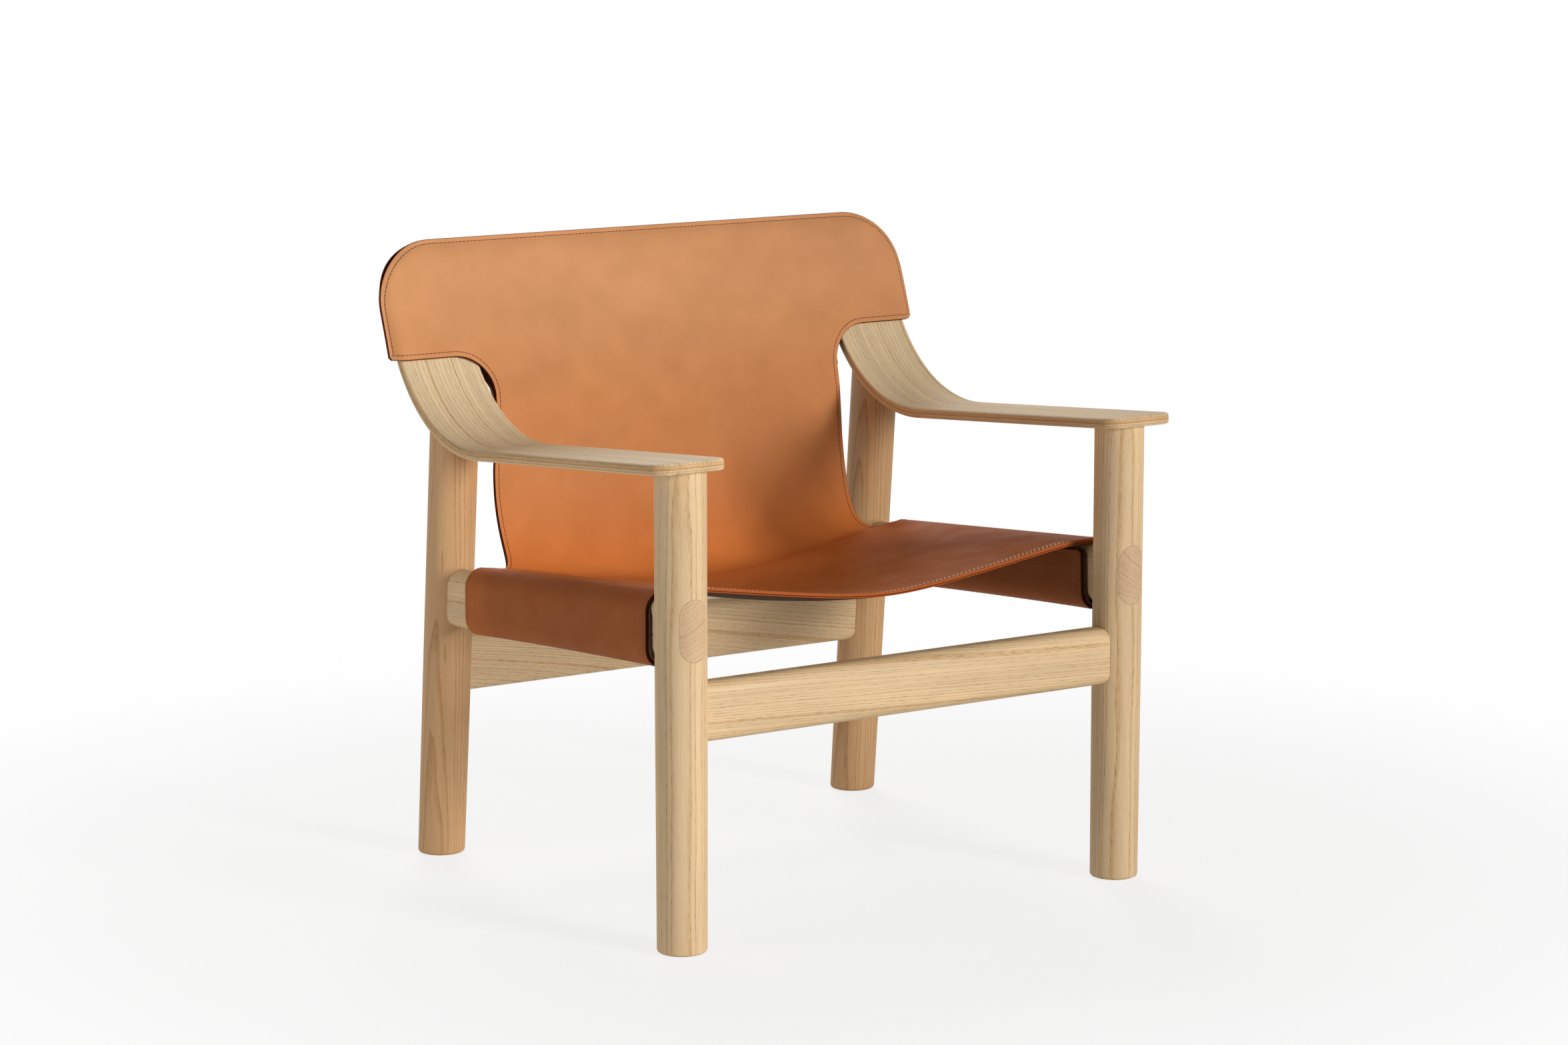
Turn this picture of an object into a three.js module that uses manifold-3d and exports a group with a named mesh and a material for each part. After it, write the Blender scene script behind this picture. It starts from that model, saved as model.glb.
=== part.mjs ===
// Lounge chair: a round-legged oak frame, two moulded plywood arms and a hung leather sling.
// Millimetres, +Z up, the sitter faces -Y. While it is built, the origin is on the floor midway
// between the front legs; at the end the group moves to the bottom centre of its own box.
import * as THREE from "three";
import { mergeVertices } from "three/addons/utils/BufferGeometryUtils.js";
import Module from "manifold-3d";

const wasm = await Module();
wasm.setup();

// Driving sizes of the frame
const LEG_SPREAD = 628;
const FOOT_SPACING = 566;
const LEG_DIAMETER = 60;
const FOOT_DIAMETER = 58.6;
const FOOT_TAPER_HEIGHT = 260;
const FOOT_ROUND = 4;
const REAR_LEAN_DEG = 5;
const RAIL_WIDTH = 34;
const RAIL_HEIGHT = 72;
const RAIL_AT_FRONT = 378;
const RAIL_FALL_DEG = 5;
const RAIL_END_SETBACK = 6;
const FRONT_STRETCHER_AT = 280;
const FRONT_STRETCHER_HEIGHT = 70;
const FRONT_STRETCHER_THICKNESS = 36;
const REAR_STRETCHER_AT = 250;
const REAR_STRETCHER_HEIGHT = 80;
const REAR_STRETCHER_THICKNESS = 38;
const STRETCHER_ROUND = 14;
const STRETCHER_HOUSING = 12;
const TENON_THICKNESS = 14;
const TENON_SHOULDER = 12;
const TENON_PAST_AXIS = 12;

// Driving sizes of the arms
const ARM_TOP_AT_FRONT = 573;
const ARM_FALL_DEG = 5;
const ARM_THICKNESS = 13;
const ARM_WIDTH = 101;
const ARM_OUTBOARD = 6;
const ARM_OVERHANG = 41;
const ARM_CORNER = 27;
const ARM_EDGE_ROUND = 4;
const ARM_BEND_RADIUS = 190;
const ARM_BEND_AHEAD = 138;
const ARM_BEND_DEG = 56;
const EAR_BEND_RADIUS = 90;
const EAR_LEAN_DEG = 18;
const EAR_STRAIGHT = 114;
const EAR_WIDTH = 106;
const EAR_OUTBOARD = 8.5;
const EAR_CORNER = 48;

// Driving sizes of the hardware
const DOWEL_DIAMETER = 10;
const DOWEL_IN_ARM = 8;
const DOWEL_IN_LEG = 28;
const DOWEL_SPACING = 26;
const BOLT_DIAMETER = 8;
const BOLT_HEAD_DIAMETER = 13;
const BOLT_HEAD_HEIGHT = 8;
const BOLT_HEAD_RECESS = 11;
const BOLT_SOCKET = 6;
const BOLT_SOCKET_DEPTH = 4;
const BOLT_PAST_NUT = 14;
const NUT_DIAMETER = 14;
const NUT_LENGTH = 22;
const NUT_FROM_RAIL_END = 85;
const GLIDE_DIAMETER = 36;
const GLIDE_HEIGHT = 6;
const GLIDE_PROUD = 1;

// Driving sizes of the leather
const LEATHER = 3.4;
const LINING = 1.6;
const SLEEVE_FRONT_GAP = 10;
const SLEEVE_REAR_GAP = 51;
const SLEEVE_FLAP_RISE = 28;
const SEAT_SAG_FRONT = 31;
const SEAT_SAG_REAR = 40;
const SEAT_SAG_BOW = 12;
const SEAT_CENTRE_SHORT = 16;
const WAIST_INSIDE_LEG = 59.5;
const LOWER_BACK_INSIDE_LEG = 54;
const NOTCH_DIP = 18.5;
const NOTCH_RISE = 1;
const BACK_AHEAD_OF_LEG = 0.5;
const BACK_START_ABOVE_RAIL = 104;
const POCKET_MARGIN = 14.5;
const POCKET_SIDE_MARGIN = 13;
const POCKET_DEPTH = 138.5;
const POCKET_CORNER = 80;
const MOUTH_ROUND = 50;
const MOUTH_STAND_OFF = 5;

// Clearances
const FIT = 0.3;
const SLEEVE_FIT = 0.6;
const LAYER_GAP = 0.5;
const SLIVER = 0.005;

// Facet counts
const ROUND_SIDES = 40;
const DOWEL_SIDES = 20;
const CORNER_STEPS = 4;
const SEAT_ROWS = 6;
const TURN_ROWS = 4;
const WAIST_ROWS = 4;
const MOUTH_ROWS = 5;
const CORNER_ROWS = 5;
const HALF_COLUMNS = 5;
const SLEEVE_STEPS = 10;

const rad = THREE.MathUtils.degToRad;
const lerp = THREE.MathUtils.lerp;
const point = (x, y, z) => new THREE.Vector3(x, y, z);
const halfSpread = LEG_SPREAD / 2;
const legRadius = LEG_DIAMETER / 2;
const X_AXIS = point(1, 0, 0);
const UP = point(0, 0, 1);
const sides = [
  ["left", -1],
  ["right", 1],
];

// Solids and booleans
function solidOf(geometry) {
  const bare = new THREE.BufferGeometry();
  bare.setAttribute("position", geometry.getAttribute("position"));
  bare.setIndex(geometry.index);
  const merged = mergeVertices(bare, 1e-4);
  const mesh = new wasm.Mesh({
    numProp: 3,
    vertProperties: new Float32Array(merged.attributes.position.array),
    triVerts: new Uint32Array(merged.index.array),
  });
  return new wasm.Manifold(mesh);
}

function geometryOf(solid) {
  const mesh = solid.simplify(SLIVER).getMesh();
  const geometry = new THREE.BufferGeometry();
  geometry.setAttribute("position", new THREE.BufferAttribute(mesh.vertProperties, 3));
  geometry.setIndex(new THREE.BufferAttribute(mesh.triVerts, 1));
  geometry.computeVertexNormals();
  return geometry;
}

function cut(geometry, cutters) {
  let solid = solidOf(geometry);
  for (const cutter of cutters) solid = solid.subtract(solidOf(cutter));
  return geometryOf(solid);
}

function join(first, second) {
  return geometryOf(solidOf(first).add(solidOf(second)));
}

// A rounded rectangle, or a stadium where the corner is half its smaller side
function roundedShape(width, height, round) {
  const x = width / 2;
  const y = height / 2;
  const r = Math.min(round, x, y - SLIVER);
  const shape = new THREE.Shape();
  if (r === x) {
    shape.absarc(0, -y + r, r, -Math.PI, 0);
    shape.absarc(0, y - r, r, 0, Math.PI);
    shape.closePath();
    return shape;
  }
  shape.absarc(x - r, -y + r, r, -Math.PI / 2, 0);
  shape.absarc(x - r, y - r, r, 0, Math.PI / 2);
  shape.absarc(-x + r, y - r, r, Math.PI / 2, Math.PI);
  shape.absarc(-x + r, -y + r, r, Math.PI, Math.PI * 1.5);
  shape.closePath();
  return shape;
}

// A bar of rounded section between two points, with its height towards up
function bar(width, height, round, from, to, up) {
  const along = to.clone().sub(from);
  const depth = along.length();
  along.normalize();
  const high = up.clone().addScaledVector(along, -up.dot(along)).normalize();
  const across = high.clone().cross(along);
  const shape = roundedShape(width, height, round);
  const options = { depth, bevelEnabled: false, curveSegments: CORNER_STEPS };
  const geometry = new THREE.ExtrudeGeometry(shape, options);
  const place = new THREE.Matrix4().makeBasis(across, high, along).setPosition(from);
  return geometry.applyMatrix4(place);
}

function rod(diameter, from, to, count) {
  const along = to.clone().sub(from);
  const geometry = new THREE.CylinderGeometry(diameter / 2, diameter / 2, along.length(), count);
  const turn = new THREE.Quaternion().setFromUnitVectors(point(0, 1, 0), along.clone().normalize());
  const middle = from.clone().add(to).multiplyScalar(0.5);
  return geometry.applyMatrix4(new THREE.Matrix4().compose(middle, turn, point(1, 1, 1)));
}

// A closed body through rings of points, one ring per station
function loft(rings) {
  const count = rings[0].length;
  const positions = [];
  const triangles = [];
  for (const ring of rings) {
    for (const p of ring) positions.push(p.x, p.y, p.z);
  }
  for (let i = 0; i + 1 < rings.length; i += 1) {
    for (let j = 0; j < count; j += 1) {
      const a = i * count + j;
      const b = i * count + ((j + 1) % count);
      triangles.push(a, b, b + count, a, b + count, a + count);
    }
  }
  const last = (rings.length - 1) * count;
  for (let j = 1; j + 1 < count; j += 1) {
    triangles.push(0, j + 1, j, last, last + j, last + j + 1);
  }
  const geometry = new THREE.BufferGeometry();
  geometry.setAttribute("position", new THREE.Float32BufferAttribute(positions, 3));
  geometry.setIndex(triangles);
  return geometry;
}

// Rear legs: the axis leans forward as it rises
const leanSlope = Math.tan(rad(REAR_LEAN_DEG));
const rearAxisY = (z) => FOOT_SPACING - z * leanSlope;
const rearAxis = point(0, -Math.sin(rad(REAR_LEAN_DEG)), Math.cos(rad(REAR_LEAN_DEG)));

// Side rails: the axis falls towards the rear
const railSlope = Math.tan(rad(RAIL_FALL_DEG));
const railZ = (y) => RAIL_AT_FRONT - y * railSlope;
const railPoint = (side, y) => point(side * halfSpread, y, railZ(y));
const railLeg = (FOOT_SPACING - RAIL_AT_FRONT * leanSlope) / (1 - railSlope * leanSlope);
const railEndY = railLeg - RAIL_END_SETBACK;
const railAxis = point(0, Math.cos(rad(RAIL_FALL_DEG)), -Math.sin(rad(RAIL_FALL_DEG)));

// The arm's upper surface in the YZ plane: a falling flat, a wide bend, a tighter bend, the ear
const fall = rad(ARM_FALL_DEG);
const armLineZ = (y) => ARM_TOP_AT_FRONT - y * Math.tan(fall);
const bendY = rearAxisY(ARM_TOP_AT_FRONT) - ARM_BEND_AHEAD;
const bendStartY = bendY - ARM_BEND_RADIUS * Math.sin(fall);
const bendZ = armLineZ(bendStartY) + ARM_BEND_RADIUS * Math.cos(fall);
const bendEnd = rad(ARM_BEND_DEG);
const earAngle = Math.PI / 2 - rad(EAR_LEAN_DEG);
const earBendY = bendY + (ARM_BEND_RADIUS - EAR_BEND_RADIUS) * Math.sin(bendEnd);
const earBendZ = bendZ - (ARM_BEND_RADIUS - EAR_BEND_RADIUS) * Math.cos(bendEnd);
const earStartY = earBendY + EAR_BEND_RADIUS * Math.sin(earAngle);
const earStartZ = earBendZ - EAR_BEND_RADIUS * Math.cos(earAngle);
const flatLength = (bendStartY + ARM_OVERHANG) / Math.cos(fall);
const bendLength = ARM_BEND_RADIUS * (bendEnd + fall);
const earBendLength = EAR_BEND_RADIUS * (earAngle - bendEnd);
const armLength = flatLength + bendLength + earBendLength + EAR_STRAIGHT;
const earTopZ = earStartZ + EAR_STRAIGHT * Math.cos(rad(EAR_LEAN_DEG));

// A station on that surface, a given length from the arm's front edge
function armStation(length) {
  if (length < flatLength) {
    const y = length * Math.cos(fall) - ARM_OVERHANG;
    return { y, z: armLineZ(y), angle: -fall };
  }
  const inBend = length - flatLength;
  if (inBend < bendLength) {
    const angle = inBend / ARM_BEND_RADIUS - fall;
    const y = bendY + ARM_BEND_RADIUS * Math.sin(angle);
    return { y, z: bendZ - ARM_BEND_RADIUS * Math.cos(angle), angle };
  }
  const inEarBend = inBend - bendLength;
  if (inEarBend < earBendLength) {
    const angle = bendEnd + inEarBend / EAR_BEND_RADIUS;
    const y = earBendY + EAR_BEND_RADIUS * Math.sin(angle);
    return { y, z: earBendZ - EAR_BEND_RADIUS * Math.cos(angle), angle };
  }
  const inEar = inEarBend - earBendLength;
  const y = earStartY + inEar * Math.cos(earAngle);
  return { y, z: earStartZ + inEar * Math.sin(earAngle), angle: earAngle };
}

// How far an arm's centre line stands outboard of the leg, and its width, along its length
function armAcross(length) {
  const start = flatLength - ARM_BEND_RADIUS / 3;
  const blend = THREE.MathUtils.smoothstep(length, start, flatLength + ARM_BEND_RADIUS / 3);
  const offset = lerp(ARM_OUTBOARD, EAR_OUTBOARD, blend);
  return { centre: halfSpread + offset, width: lerp(ARM_WIDTH, EAR_WIDTH, blend) };
}

// How far a rounded end draws in, at a distance from that end
function roundInset(distance, round) {
  if (distance >= round) return 0;
  return round - Math.sqrt(round * round - (round - distance) ** 2);
}

function armStations() {
  const stations = [];
  for (let i = 0; i <= 6; i += 1) {
    stations.push(ARM_CORNER * (1 - Math.cos((i * Math.PI) / 12)));
  }
  stations.push(ARM_EDGE_ROUND / 8, ARM_EDGE_ROUND / 2);
  for (let i = 0; i <= 18; i += 1) {
    stations.push(lerp(flatLength - ARM_BEND_RADIUS / 3, flatLength + bendLength, i / 18));
  }
  for (let i = 1; i <= 4; i += 1) {
    stations.push(flatLength + bendLength + (earBendLength * i) / 4);
  }
  for (let i = 0; i <= 7; i += 1) {
    stations.push(armLength - EAR_CORNER * (1 - Math.cos((i * Math.PI) / 14)));
  }
  stations.push(armLength - ARM_EDGE_ROUND / 8, armLength - ARM_EDGE_ROUND / 2);
  return stations.sort((a, b) => a - b);
}

function armRing(side, length) {
  const { y, z, angle } = armStation(length);
  const across = armAcross(length);
  const end = armLength - length;
  const plan = Math.max(roundInset(length, ARM_CORNER), roundInset(end, EAR_CORNER));
  const edge = Math.max(roundInset(length, ARM_EDGE_ROUND), roundInset(end, ARM_EDGE_ROUND));
  const shape = roundedShape(across.width - 2 * plan, ARM_THICKNESS - 2 * edge, ARM_EDGE_ROUND);
  const normal = point(0, -Math.sin(angle), Math.cos(angle));
  const middle = point(side * across.centre, y, z).addScaledVector(normal, -ARM_THICKNESS / 2);
  const ring = shape.extractPoints(1).shape.map((p) =>
    middle.clone().addScaledVector(X_AXIS, p.x).addScaledVector(normal, p.y),
  );
  return ring.reverse();
}

function armGeometry(side, cutters) {
  const rings = armStations().map((length) => armRing(side, length));
  return cut(loft(rings), cutters);
}

// Everything above the arm's underside, less a clearance: it shapes the tops of the legs
function aboveArm(side) {
  const shape = new THREE.Shape();
  const steps = 60;
  for (let i = 0; i <= steps; i += 1) {
    const { y, z, angle } = armStation((armLength * i) / steps);
    const drop = ARM_THICKNESS + FIT;
    const low = [y + drop * Math.sin(angle), z - drop * Math.cos(angle)];
    if (i === 0) shape.moveTo(...low);
    else shape.lineTo(...low);
  }
  shape.lineTo(earStartY, earTopZ + LEG_DIAMETER);
  shape.lineTo(-ARM_OVERHANG, earTopZ + LEG_DIAMETER);
  shape.closePath();
  const options = { depth: 2 * LEG_DIAMETER, bevelEnabled: false };
  const geometry = new THREE.ExtrudeGeometry(shape, options);
  const place = new THREE.Matrix4().makeBasis(point(0, 1, 0), UP, X_AXIS);
  place.setPosition(side * halfSpread - LEG_DIAMETER, 0, 0);
  return geometry.applyMatrix4(place);
}

// Where the rear leg's axis meets the arm's underside, as an angle round the bend
function rearSeatAngle() {
  let low = 0;
  let high = earAngle;
  const radius = ARM_BEND_RADIUS + ARM_THICKNESS;
  for (let i = 0; i < 40; i += 1) {
    const angle = (low + high) / 2;
    const y = bendY + radius * Math.sin(angle);
    if (y < rearAxisY(bendZ - radius * Math.cos(angle))) low = angle;
    else high = angle;
  }
  return low;
}

// Arm dowels: two per leg, square to the arm's underside
function dowelSeat(end) {
  const angle = end === "front" ? -fall : rearSeatAngle();
  const normal = point(0, -Math.sin(angle), Math.cos(angle));
  if (end === "front") return { normal, seat: point(0, 0, armLineZ(0) - ARM_THICKNESS / Math.cos(fall)) };
  const radius = ARM_BEND_RADIUS + ARM_THICKNESS;
  return { normal, seat: point(0, bendY, bendZ).addScaledVector(normal, -radius) };
}

function dowel(side, end, place, clearance) {
  const { normal, seat } = dowelSeat(end);
  const at = seat.clone().setX(side * halfSpread + (place * DOWEL_SPACING) / 2);
  const top = at.clone().addScaledVector(normal, DOWEL_IN_ARM + clearance);
  const foot = at.clone().addScaledVector(normal, -DOWEL_IN_LEG - clearance);
  return rod(DOWEL_DIAMETER + 2 * clearance, foot, top, DOWEL_SIDES);
}

// Legs: turned round, drawn in a little at the foot
function legBlank() {
  const foot = FOOT_DIAMETER / 2;
  const profile = [new THREE.Vector2(0, GLIDE_PROUD)];
  for (let i = 0; i <= 4; i += 1) {
    const turn = (i * Math.PI) / 8;
    const r = foot - FOOT_ROUND * (1 - Math.sin(turn));
    profile.push(new THREE.Vector2(r, GLIDE_PROUD + FOOT_ROUND * (1 - Math.cos(turn))));
  }
  profile.push(new THREE.Vector2(legRadius, FOOT_TAPER_HEIGHT));
  profile.push(new THREE.Vector2(legRadius, earTopZ));
  profile.push(new THREE.Vector2(0, earTopZ));
  return new THREE.LatheGeometry(profile, ROUND_SIDES).rotateX(Math.PI / 2);
}

function glideRod(side, y, clearance) {
  const foot = point(side * halfSpread, y, -clearance);
  return rod(GLIDE_DIAMETER + 2 * clearance, foot, foot.clone().setZ(GLIDE_HEIGHT + clearance), ROUND_SIDES);
}

// Side rails: pushed in through the front legs, with their front ends flush and their rear ends housed
function railBar(side, fromY, toY, clearance) {
  const width = RAIL_WIDTH + 2 * clearance;
  const height = RAIL_HEIGHT + 2 * clearance;
  return bar(width, height, width / 2, railPoint(side, fromY), railPoint(side, toY), UP);
}

function boltRod(side, diameter, from, to, count) {
  const axis = railPoint(side, railLeg);
  const start = axis.clone().addScaledVector(railAxis, from);
  return rod(diameter, start, axis.clone().addScaledVector(railAxis, to), count);
}

// A turned shape on the bolt's axis, from radius and distance along that axis
function boltLathe(side, profile) {
  const points = profile.map(([r, along]) => new THREE.Vector2(r, along));
  const turn = new THREE.Quaternion().setFromUnitVectors(point(0, 1, 0), railAxis);
  const place = new THREE.Matrix4().compose(railPoint(side, railLeg), turn, point(1, 1, 1));
  return new THREE.LatheGeometry(points, DOWEL_SIDES).applyMatrix4(place);
}

const railEnd = -RAIL_END_SETBACK / Math.cos(rad(RAIL_FALL_DEG));
const nutAt = railEnd - NUT_FROM_RAIL_END;
const headSeat = legRadius - BOLT_HEAD_RECESS;

function boltHole(side) {
  const hole = BOLT_DIAMETER + 2 * FIT;
  return boltRod(side, hole, nutAt - BOLT_PAST_NUT - FIT, LEG_DIAMETER, DOWEL_SIDES);
}

function boltBore(side) {
  const hole = BOLT_DIAMETER / 2 + FIT;
  const head = BOLT_HEAD_DIAMETER / 2 + FIT;
  return boltLathe(side, [
    [0, railEnd - LEG_DIAMETER],
    [hole, railEnd - LEG_DIAMETER],
    [hole, headSeat],
    [head, headSeat],
    [head, LEG_DIAMETER],
    [0, LEG_DIAMETER],
  ]);
}

function nutRod(side, inward, outward, clearance) {
  const centre = railPoint(side, railLeg).addScaledVector(railAxis, nutAt);
  const from = centre.clone().addScaledVector(X_AXIS, -side * inward);
  const to = centre.clone().addScaledVector(X_AXIS, side * outward);
  return rod(NUT_DIAMETER + 2 * clearance, from, to, DOWEL_SIDES);
}

function railGeometry(side) {
  const long = railBar(side, -1.5 * legRadius, railEndY, 0);
  const block = bar(LEG_DIAMETER, LEG_DIAMETER, 0, point(side * halfSpread, -LEG_DIAMETER, 0),
    point(side * halfSpread, -LEG_DIAMETER, earTopZ), point(0, 1, 0)).translate(0, legRadius, 0);
  const leg = legBlank().translate(side * halfSpread, 0, 0);
  const flush = cut(block, [leg]);
  const nutHole = nutRod(side, RAIL_WIDTH, NUT_LENGTH / 2 + FIT, FIT);
  return cut(long, [flush, boltHole(side), nutHole]);
}

function boltGeometry(side) {
  const tip = nutAt - BOLT_PAST_NUT;
  const headFrom = headSeat + FIT;
  const headTo = headFrom + BOLT_HEAD_HEIGHT;
  const bolt = boltLathe(side, [
    [0, tip],
    [BOLT_DIAMETER / 2, tip],
    [BOLT_DIAMETER / 2, headFrom],
    [BOLT_HEAD_DIAMETER / 2, headFrom],
    [BOLT_HEAD_DIAMETER / 2, headTo],
    [0, headTo],
  ]);
  const socket = boltRod(side, BOLT_SOCKET, headTo - BOLT_SOCKET_DEPTH, headTo + 1, 6);
  return cut(bolt, [socket]);
}

function nutGeometry(side) {
  return cut(nutRod(side, NUT_LENGTH / 2, NUT_LENGTH / 2, 0), [boltHole(side)]);
}

// Stretchers: housed in the legs at their full section, with a tenon past the leg's axis
const stretchers = {
  front: {
    axis: UP,
    at: point(0, 0, FRONT_STRETCHER_AT),
    height: FRONT_STRETCHER_HEIGHT,
    thickness: FRONT_STRETCHER_THICKNESS,
  },
  rear: {
    axis: rearAxis,
    at: point(0, rearAxisY(REAR_STRETCHER_AT), REAR_STRETCHER_AT),
    height: REAR_STRETCHER_HEIGHT,
    thickness: REAR_STRETCHER_THICKNESS,
  },
};

function stretcherGeometry(end, clearance) {
  const { axis, at, height, thickness } = stretchers[end];
  const shoulder = halfSpread - legRadius + STRETCHER_HOUSING + clearance;
  const reach = halfSpread + TENON_PAST_AXIS + clearance;
  const beam = bar(thickness + 2 * clearance, height + 2 * clearance, STRETCHER_ROUND + clearance,
    at.clone().setX(-shoulder), at.clone().setX(shoulder), axis);
  const tenonHeight = height - 2 * TENON_SHOULDER + 2 * clearance;
  const tenonThickness = TENON_THICKNESS + 2 * clearance;
  const tenon = bar(tenonThickness, tenonHeight, tenonThickness / 2,
    at.clone().setX(-reach), at.clone().setX(reach), axis);
  return join(beam, tenon);
}

function frontLeg(side) {
  const blank = legBlank().translate(side * halfSpread, 0, 0);
  return cut(blank, [
    aboveArm(side),
    railBar(side, -LEG_DIAMETER, LEG_DIAMETER, FIT),
    stretcherGeometry("front", FIT),
    dowel(side, "front", -1, FIT),
    dowel(side, "front", 1, FIT),
    glideRod(side, 0, FIT),
  ]);
}

function rearLeg(side) {
  const shear = new THREE.Matrix4().makeShear(0, 0, 0, 0, 0, -leanSlope);
  const blank = legBlank().applyMatrix4(shear).translate(side * halfSpread, FOOT_SPACING, 0);
  return cut(blank, [
    aboveArm(side),
    railBar(side, railEndY - LEG_DIAMETER, railEndY + FIT, FIT),
    stretcherGeometry("rear", FIT),
    boltBore(side),
    dowel(side, "rear", -1, FIT),
    dowel(side, "rear", 1, FIT),
    glideRod(side, FOOT_SPACING, FIT),
  ]);
}

// The sling's middle surface. Rows run from the seat's front edge to the back's top edge.
const sleeveRadius = RAIL_WIDTH / 2 + SLEEVE_FIT + LINING + LAYER_GAP + LEATHER / 2;
const railStraight = (RAIL_HEIGHT - RAIL_WIDTH) / 2;
const seatFrontY = legRadius + SLEEVE_FRONT_GAP;
const seatRearY = railLeg - legRadius - SLEEVE_REAR_GAP;
const backTopZ = earTopZ + POCKET_MARGIN;
const mouthZ = backTopZ - POCKET_DEPTH;
const earOuter = halfSpread + EAR_OUTBOARD + EAR_WIDTH / 2;
const pocketHalf = earOuter + POCKET_SIDE_MARGIN;
const earInner = halfSpread + EAR_OUTBOARD - EAR_WIDTH / 2;
const waistHalf = halfSpread - WAIST_INSIDE_LEG;
const lowerHalf = halfSpread - LOWER_BACK_INSIDE_LEG;
const backStartZ = railZ(railLeg) + BACK_START_ABOVE_RAIL;
const waistZ = mouthZ - MOUTH_ROUND;
const waistY = rearAxisY(waistZ) - BACK_AHEAD_OF_LEG;
const sheetToEar = (SLEEVE_FIT + LEATHER / 2) / Math.cos(rad(EAR_LEAN_DEG));
const edgeSlope = Math.atan((2 * SEAT_SAG_FRONT) / halfSpread);

// The depth of a surface a given distance behind the ear's front face, for each height
function earDepth(z, behind) {
  const tight = EAR_BEND_RADIUS + behind;
  const wide = ARM_BEND_RADIUS + behind;
  const startZ = earBendZ - tight * Math.cos(earAngle);
  const startY = earBendY + tight * Math.sin(earAngle);
  if (z > startZ) return startY + (z - startZ) / Math.tan(earAngle);
  if (z > bendZ - wide * Math.cos(bendEnd)) return earBendY + Math.sqrt(tight ** 2 - (earBendZ - z) ** 2);
  return bendY + Math.sqrt(wide ** 2 - (bendZ - z) ** 2);
}

const earFrontY = (z) => earDepth(z, 0);

// The leather back's depth for each height: upright at the waist, then along the ears
const contactZ = earStartZ + EAR_STRAIGHT / 2;
const backCurve = new THREE.CubicBezierCurve(
  new THREE.Vector2(waistY, lerp(backStartZ, waistZ, 0.5)),
  new THREE.Vector2(waistY, lerp(waistZ, mouthZ, 0.4)),
  new THREE.Vector2(earFrontY(mouthZ) - sheetToEar - MOUTH_STAND_OFF, mouthZ),
  new THREE.Vector2(earFrontY(contactZ) - sheetToEar, contactZ),
);
const backPoints = backCurve.getPoints(60);

function backY(z) {
  if (z <= backPoints[0].y) return waistY;
  if (z >= contactZ) return earFrontY(z) - sheetToEar;
  const above = backPoints.findIndex((p) => p.y > z);
  const low = backPoints[above - 1];
  const high = backPoints[above];
  return lerp(low.x, high.x, (z - low.y) / (high.y - low.y));
}

// Half of the sleeve round a rail, from the seat over the top, outside, below and up inside
function sleeveLine(side, y) {
  const line = [];
  const low = railZ(y) - railStraight;
  const high = railZ(y) + railStraight;
  const at = (turn, z) => point(side * (halfSpread + sleeveRadius * Math.sin(turn)), y,
    z + sleeveRadius * Math.cos(turn));
  const topTurn = Math.PI / 2 + edgeSlope;
  const topSteps = Math.round((SLEEVE_STEPS * topTurn) / Math.PI);
  for (let i = 0; i <= topSteps; i += 1) line.push(at(-edgeSlope + (topTurn * i) / topSteps, high));
  for (let i = 0; i <= SLEEVE_STEPS; i += 1) line.push(at(Math.PI * (0.5 + i / SLEEVE_STEPS), low));
  line.push(point(side * (halfSpread - sleeveRadius), y, railZ(y) + SLEEVE_FLAP_RISE));
  return line;
}

// One row across, from its centre and its right-hand end
function acrossRow(centre, end, power) {
  const row = [];
  for (let j = -HALF_COLUMNS; j <= HALF_COLUMNS; j += 1) {
    const x = j / HALF_COLUMNS;
    const share = Math.abs(x) ** power;
    row.push(point(end.x * x, lerp(centre.y, end.y, share), lerp(centre.z, end.z, share)));
  }
  return row;
}

function seatRows() {
  const rows = [];
  for (let i = 0; i <= SEAT_ROWS; i += 1) {
    const share = i / SEAT_ROWS;
    const right = sleeveLine(1, lerp(seatFrontY, seatRearY, share));
    const left = sleeveLine(-1, right[0].y).reverse();
    const sag = lerp(SEAT_SAG_FRONT, SEAT_SAG_REAR, share) + SEAT_SAG_BOW * 4 * share * (1 - share);
    const centre = point(0, right[0].y - SEAT_CENTRE_SHORT * share, right[0].z - sag);
    const middle = acrossRow(centre, right[0], 2);
    rows.push([...left.slice(0, -1), ...middle, ...right.slice(1)]);
  }
  return rows;
}

// The turn from seat to back: its side edge sweeps in from the sleeve to the lower back
function turnRows(lastSeatRow) {
  const count = (lastSeatRow.length - 1) / 2;
  const centre = lastSeatRow[count];
  const end = lastSeatRow[count + HALF_COLUMNS];
  const edge = new THREE.CubicBezierCurve3(
    end,
    point(lerp(end.x, lowerHalf, 1.3), end.y, end.z - NOTCH_DIP),
    point(lowerHalf, lerp(end.y, waistY, 0.87), end.z + NOTCH_RISE),
    point(lowerHalf, waistY, backStartZ),
  );
  const spine = new THREE.CubicBezierCurve3(
    centre,
    point(0, lerp(centre.y, waistY, 0.55), centre.z),
    point(0, waistY, lerp(centre.z, backStartZ, 0.4)),
    point(0, waistY, backStartZ),
  );
  const rows = [];
  for (let i = 1; i <= TURN_ROWS; i += 1) {
    rows.push(acrossRow(spine.getPoint(i / TURN_ROWS), edge.getPoint(i / TURN_ROWS), 2.4));
  }
  return rows;
}

function backRow(centreZ, endX, endZ) {
  const row = acrossRow(point(0, 0, centreZ), point(endX, 0, endZ), 3);
  for (const p of row) p.y = backY(p.z);
  return row;
}

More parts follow.
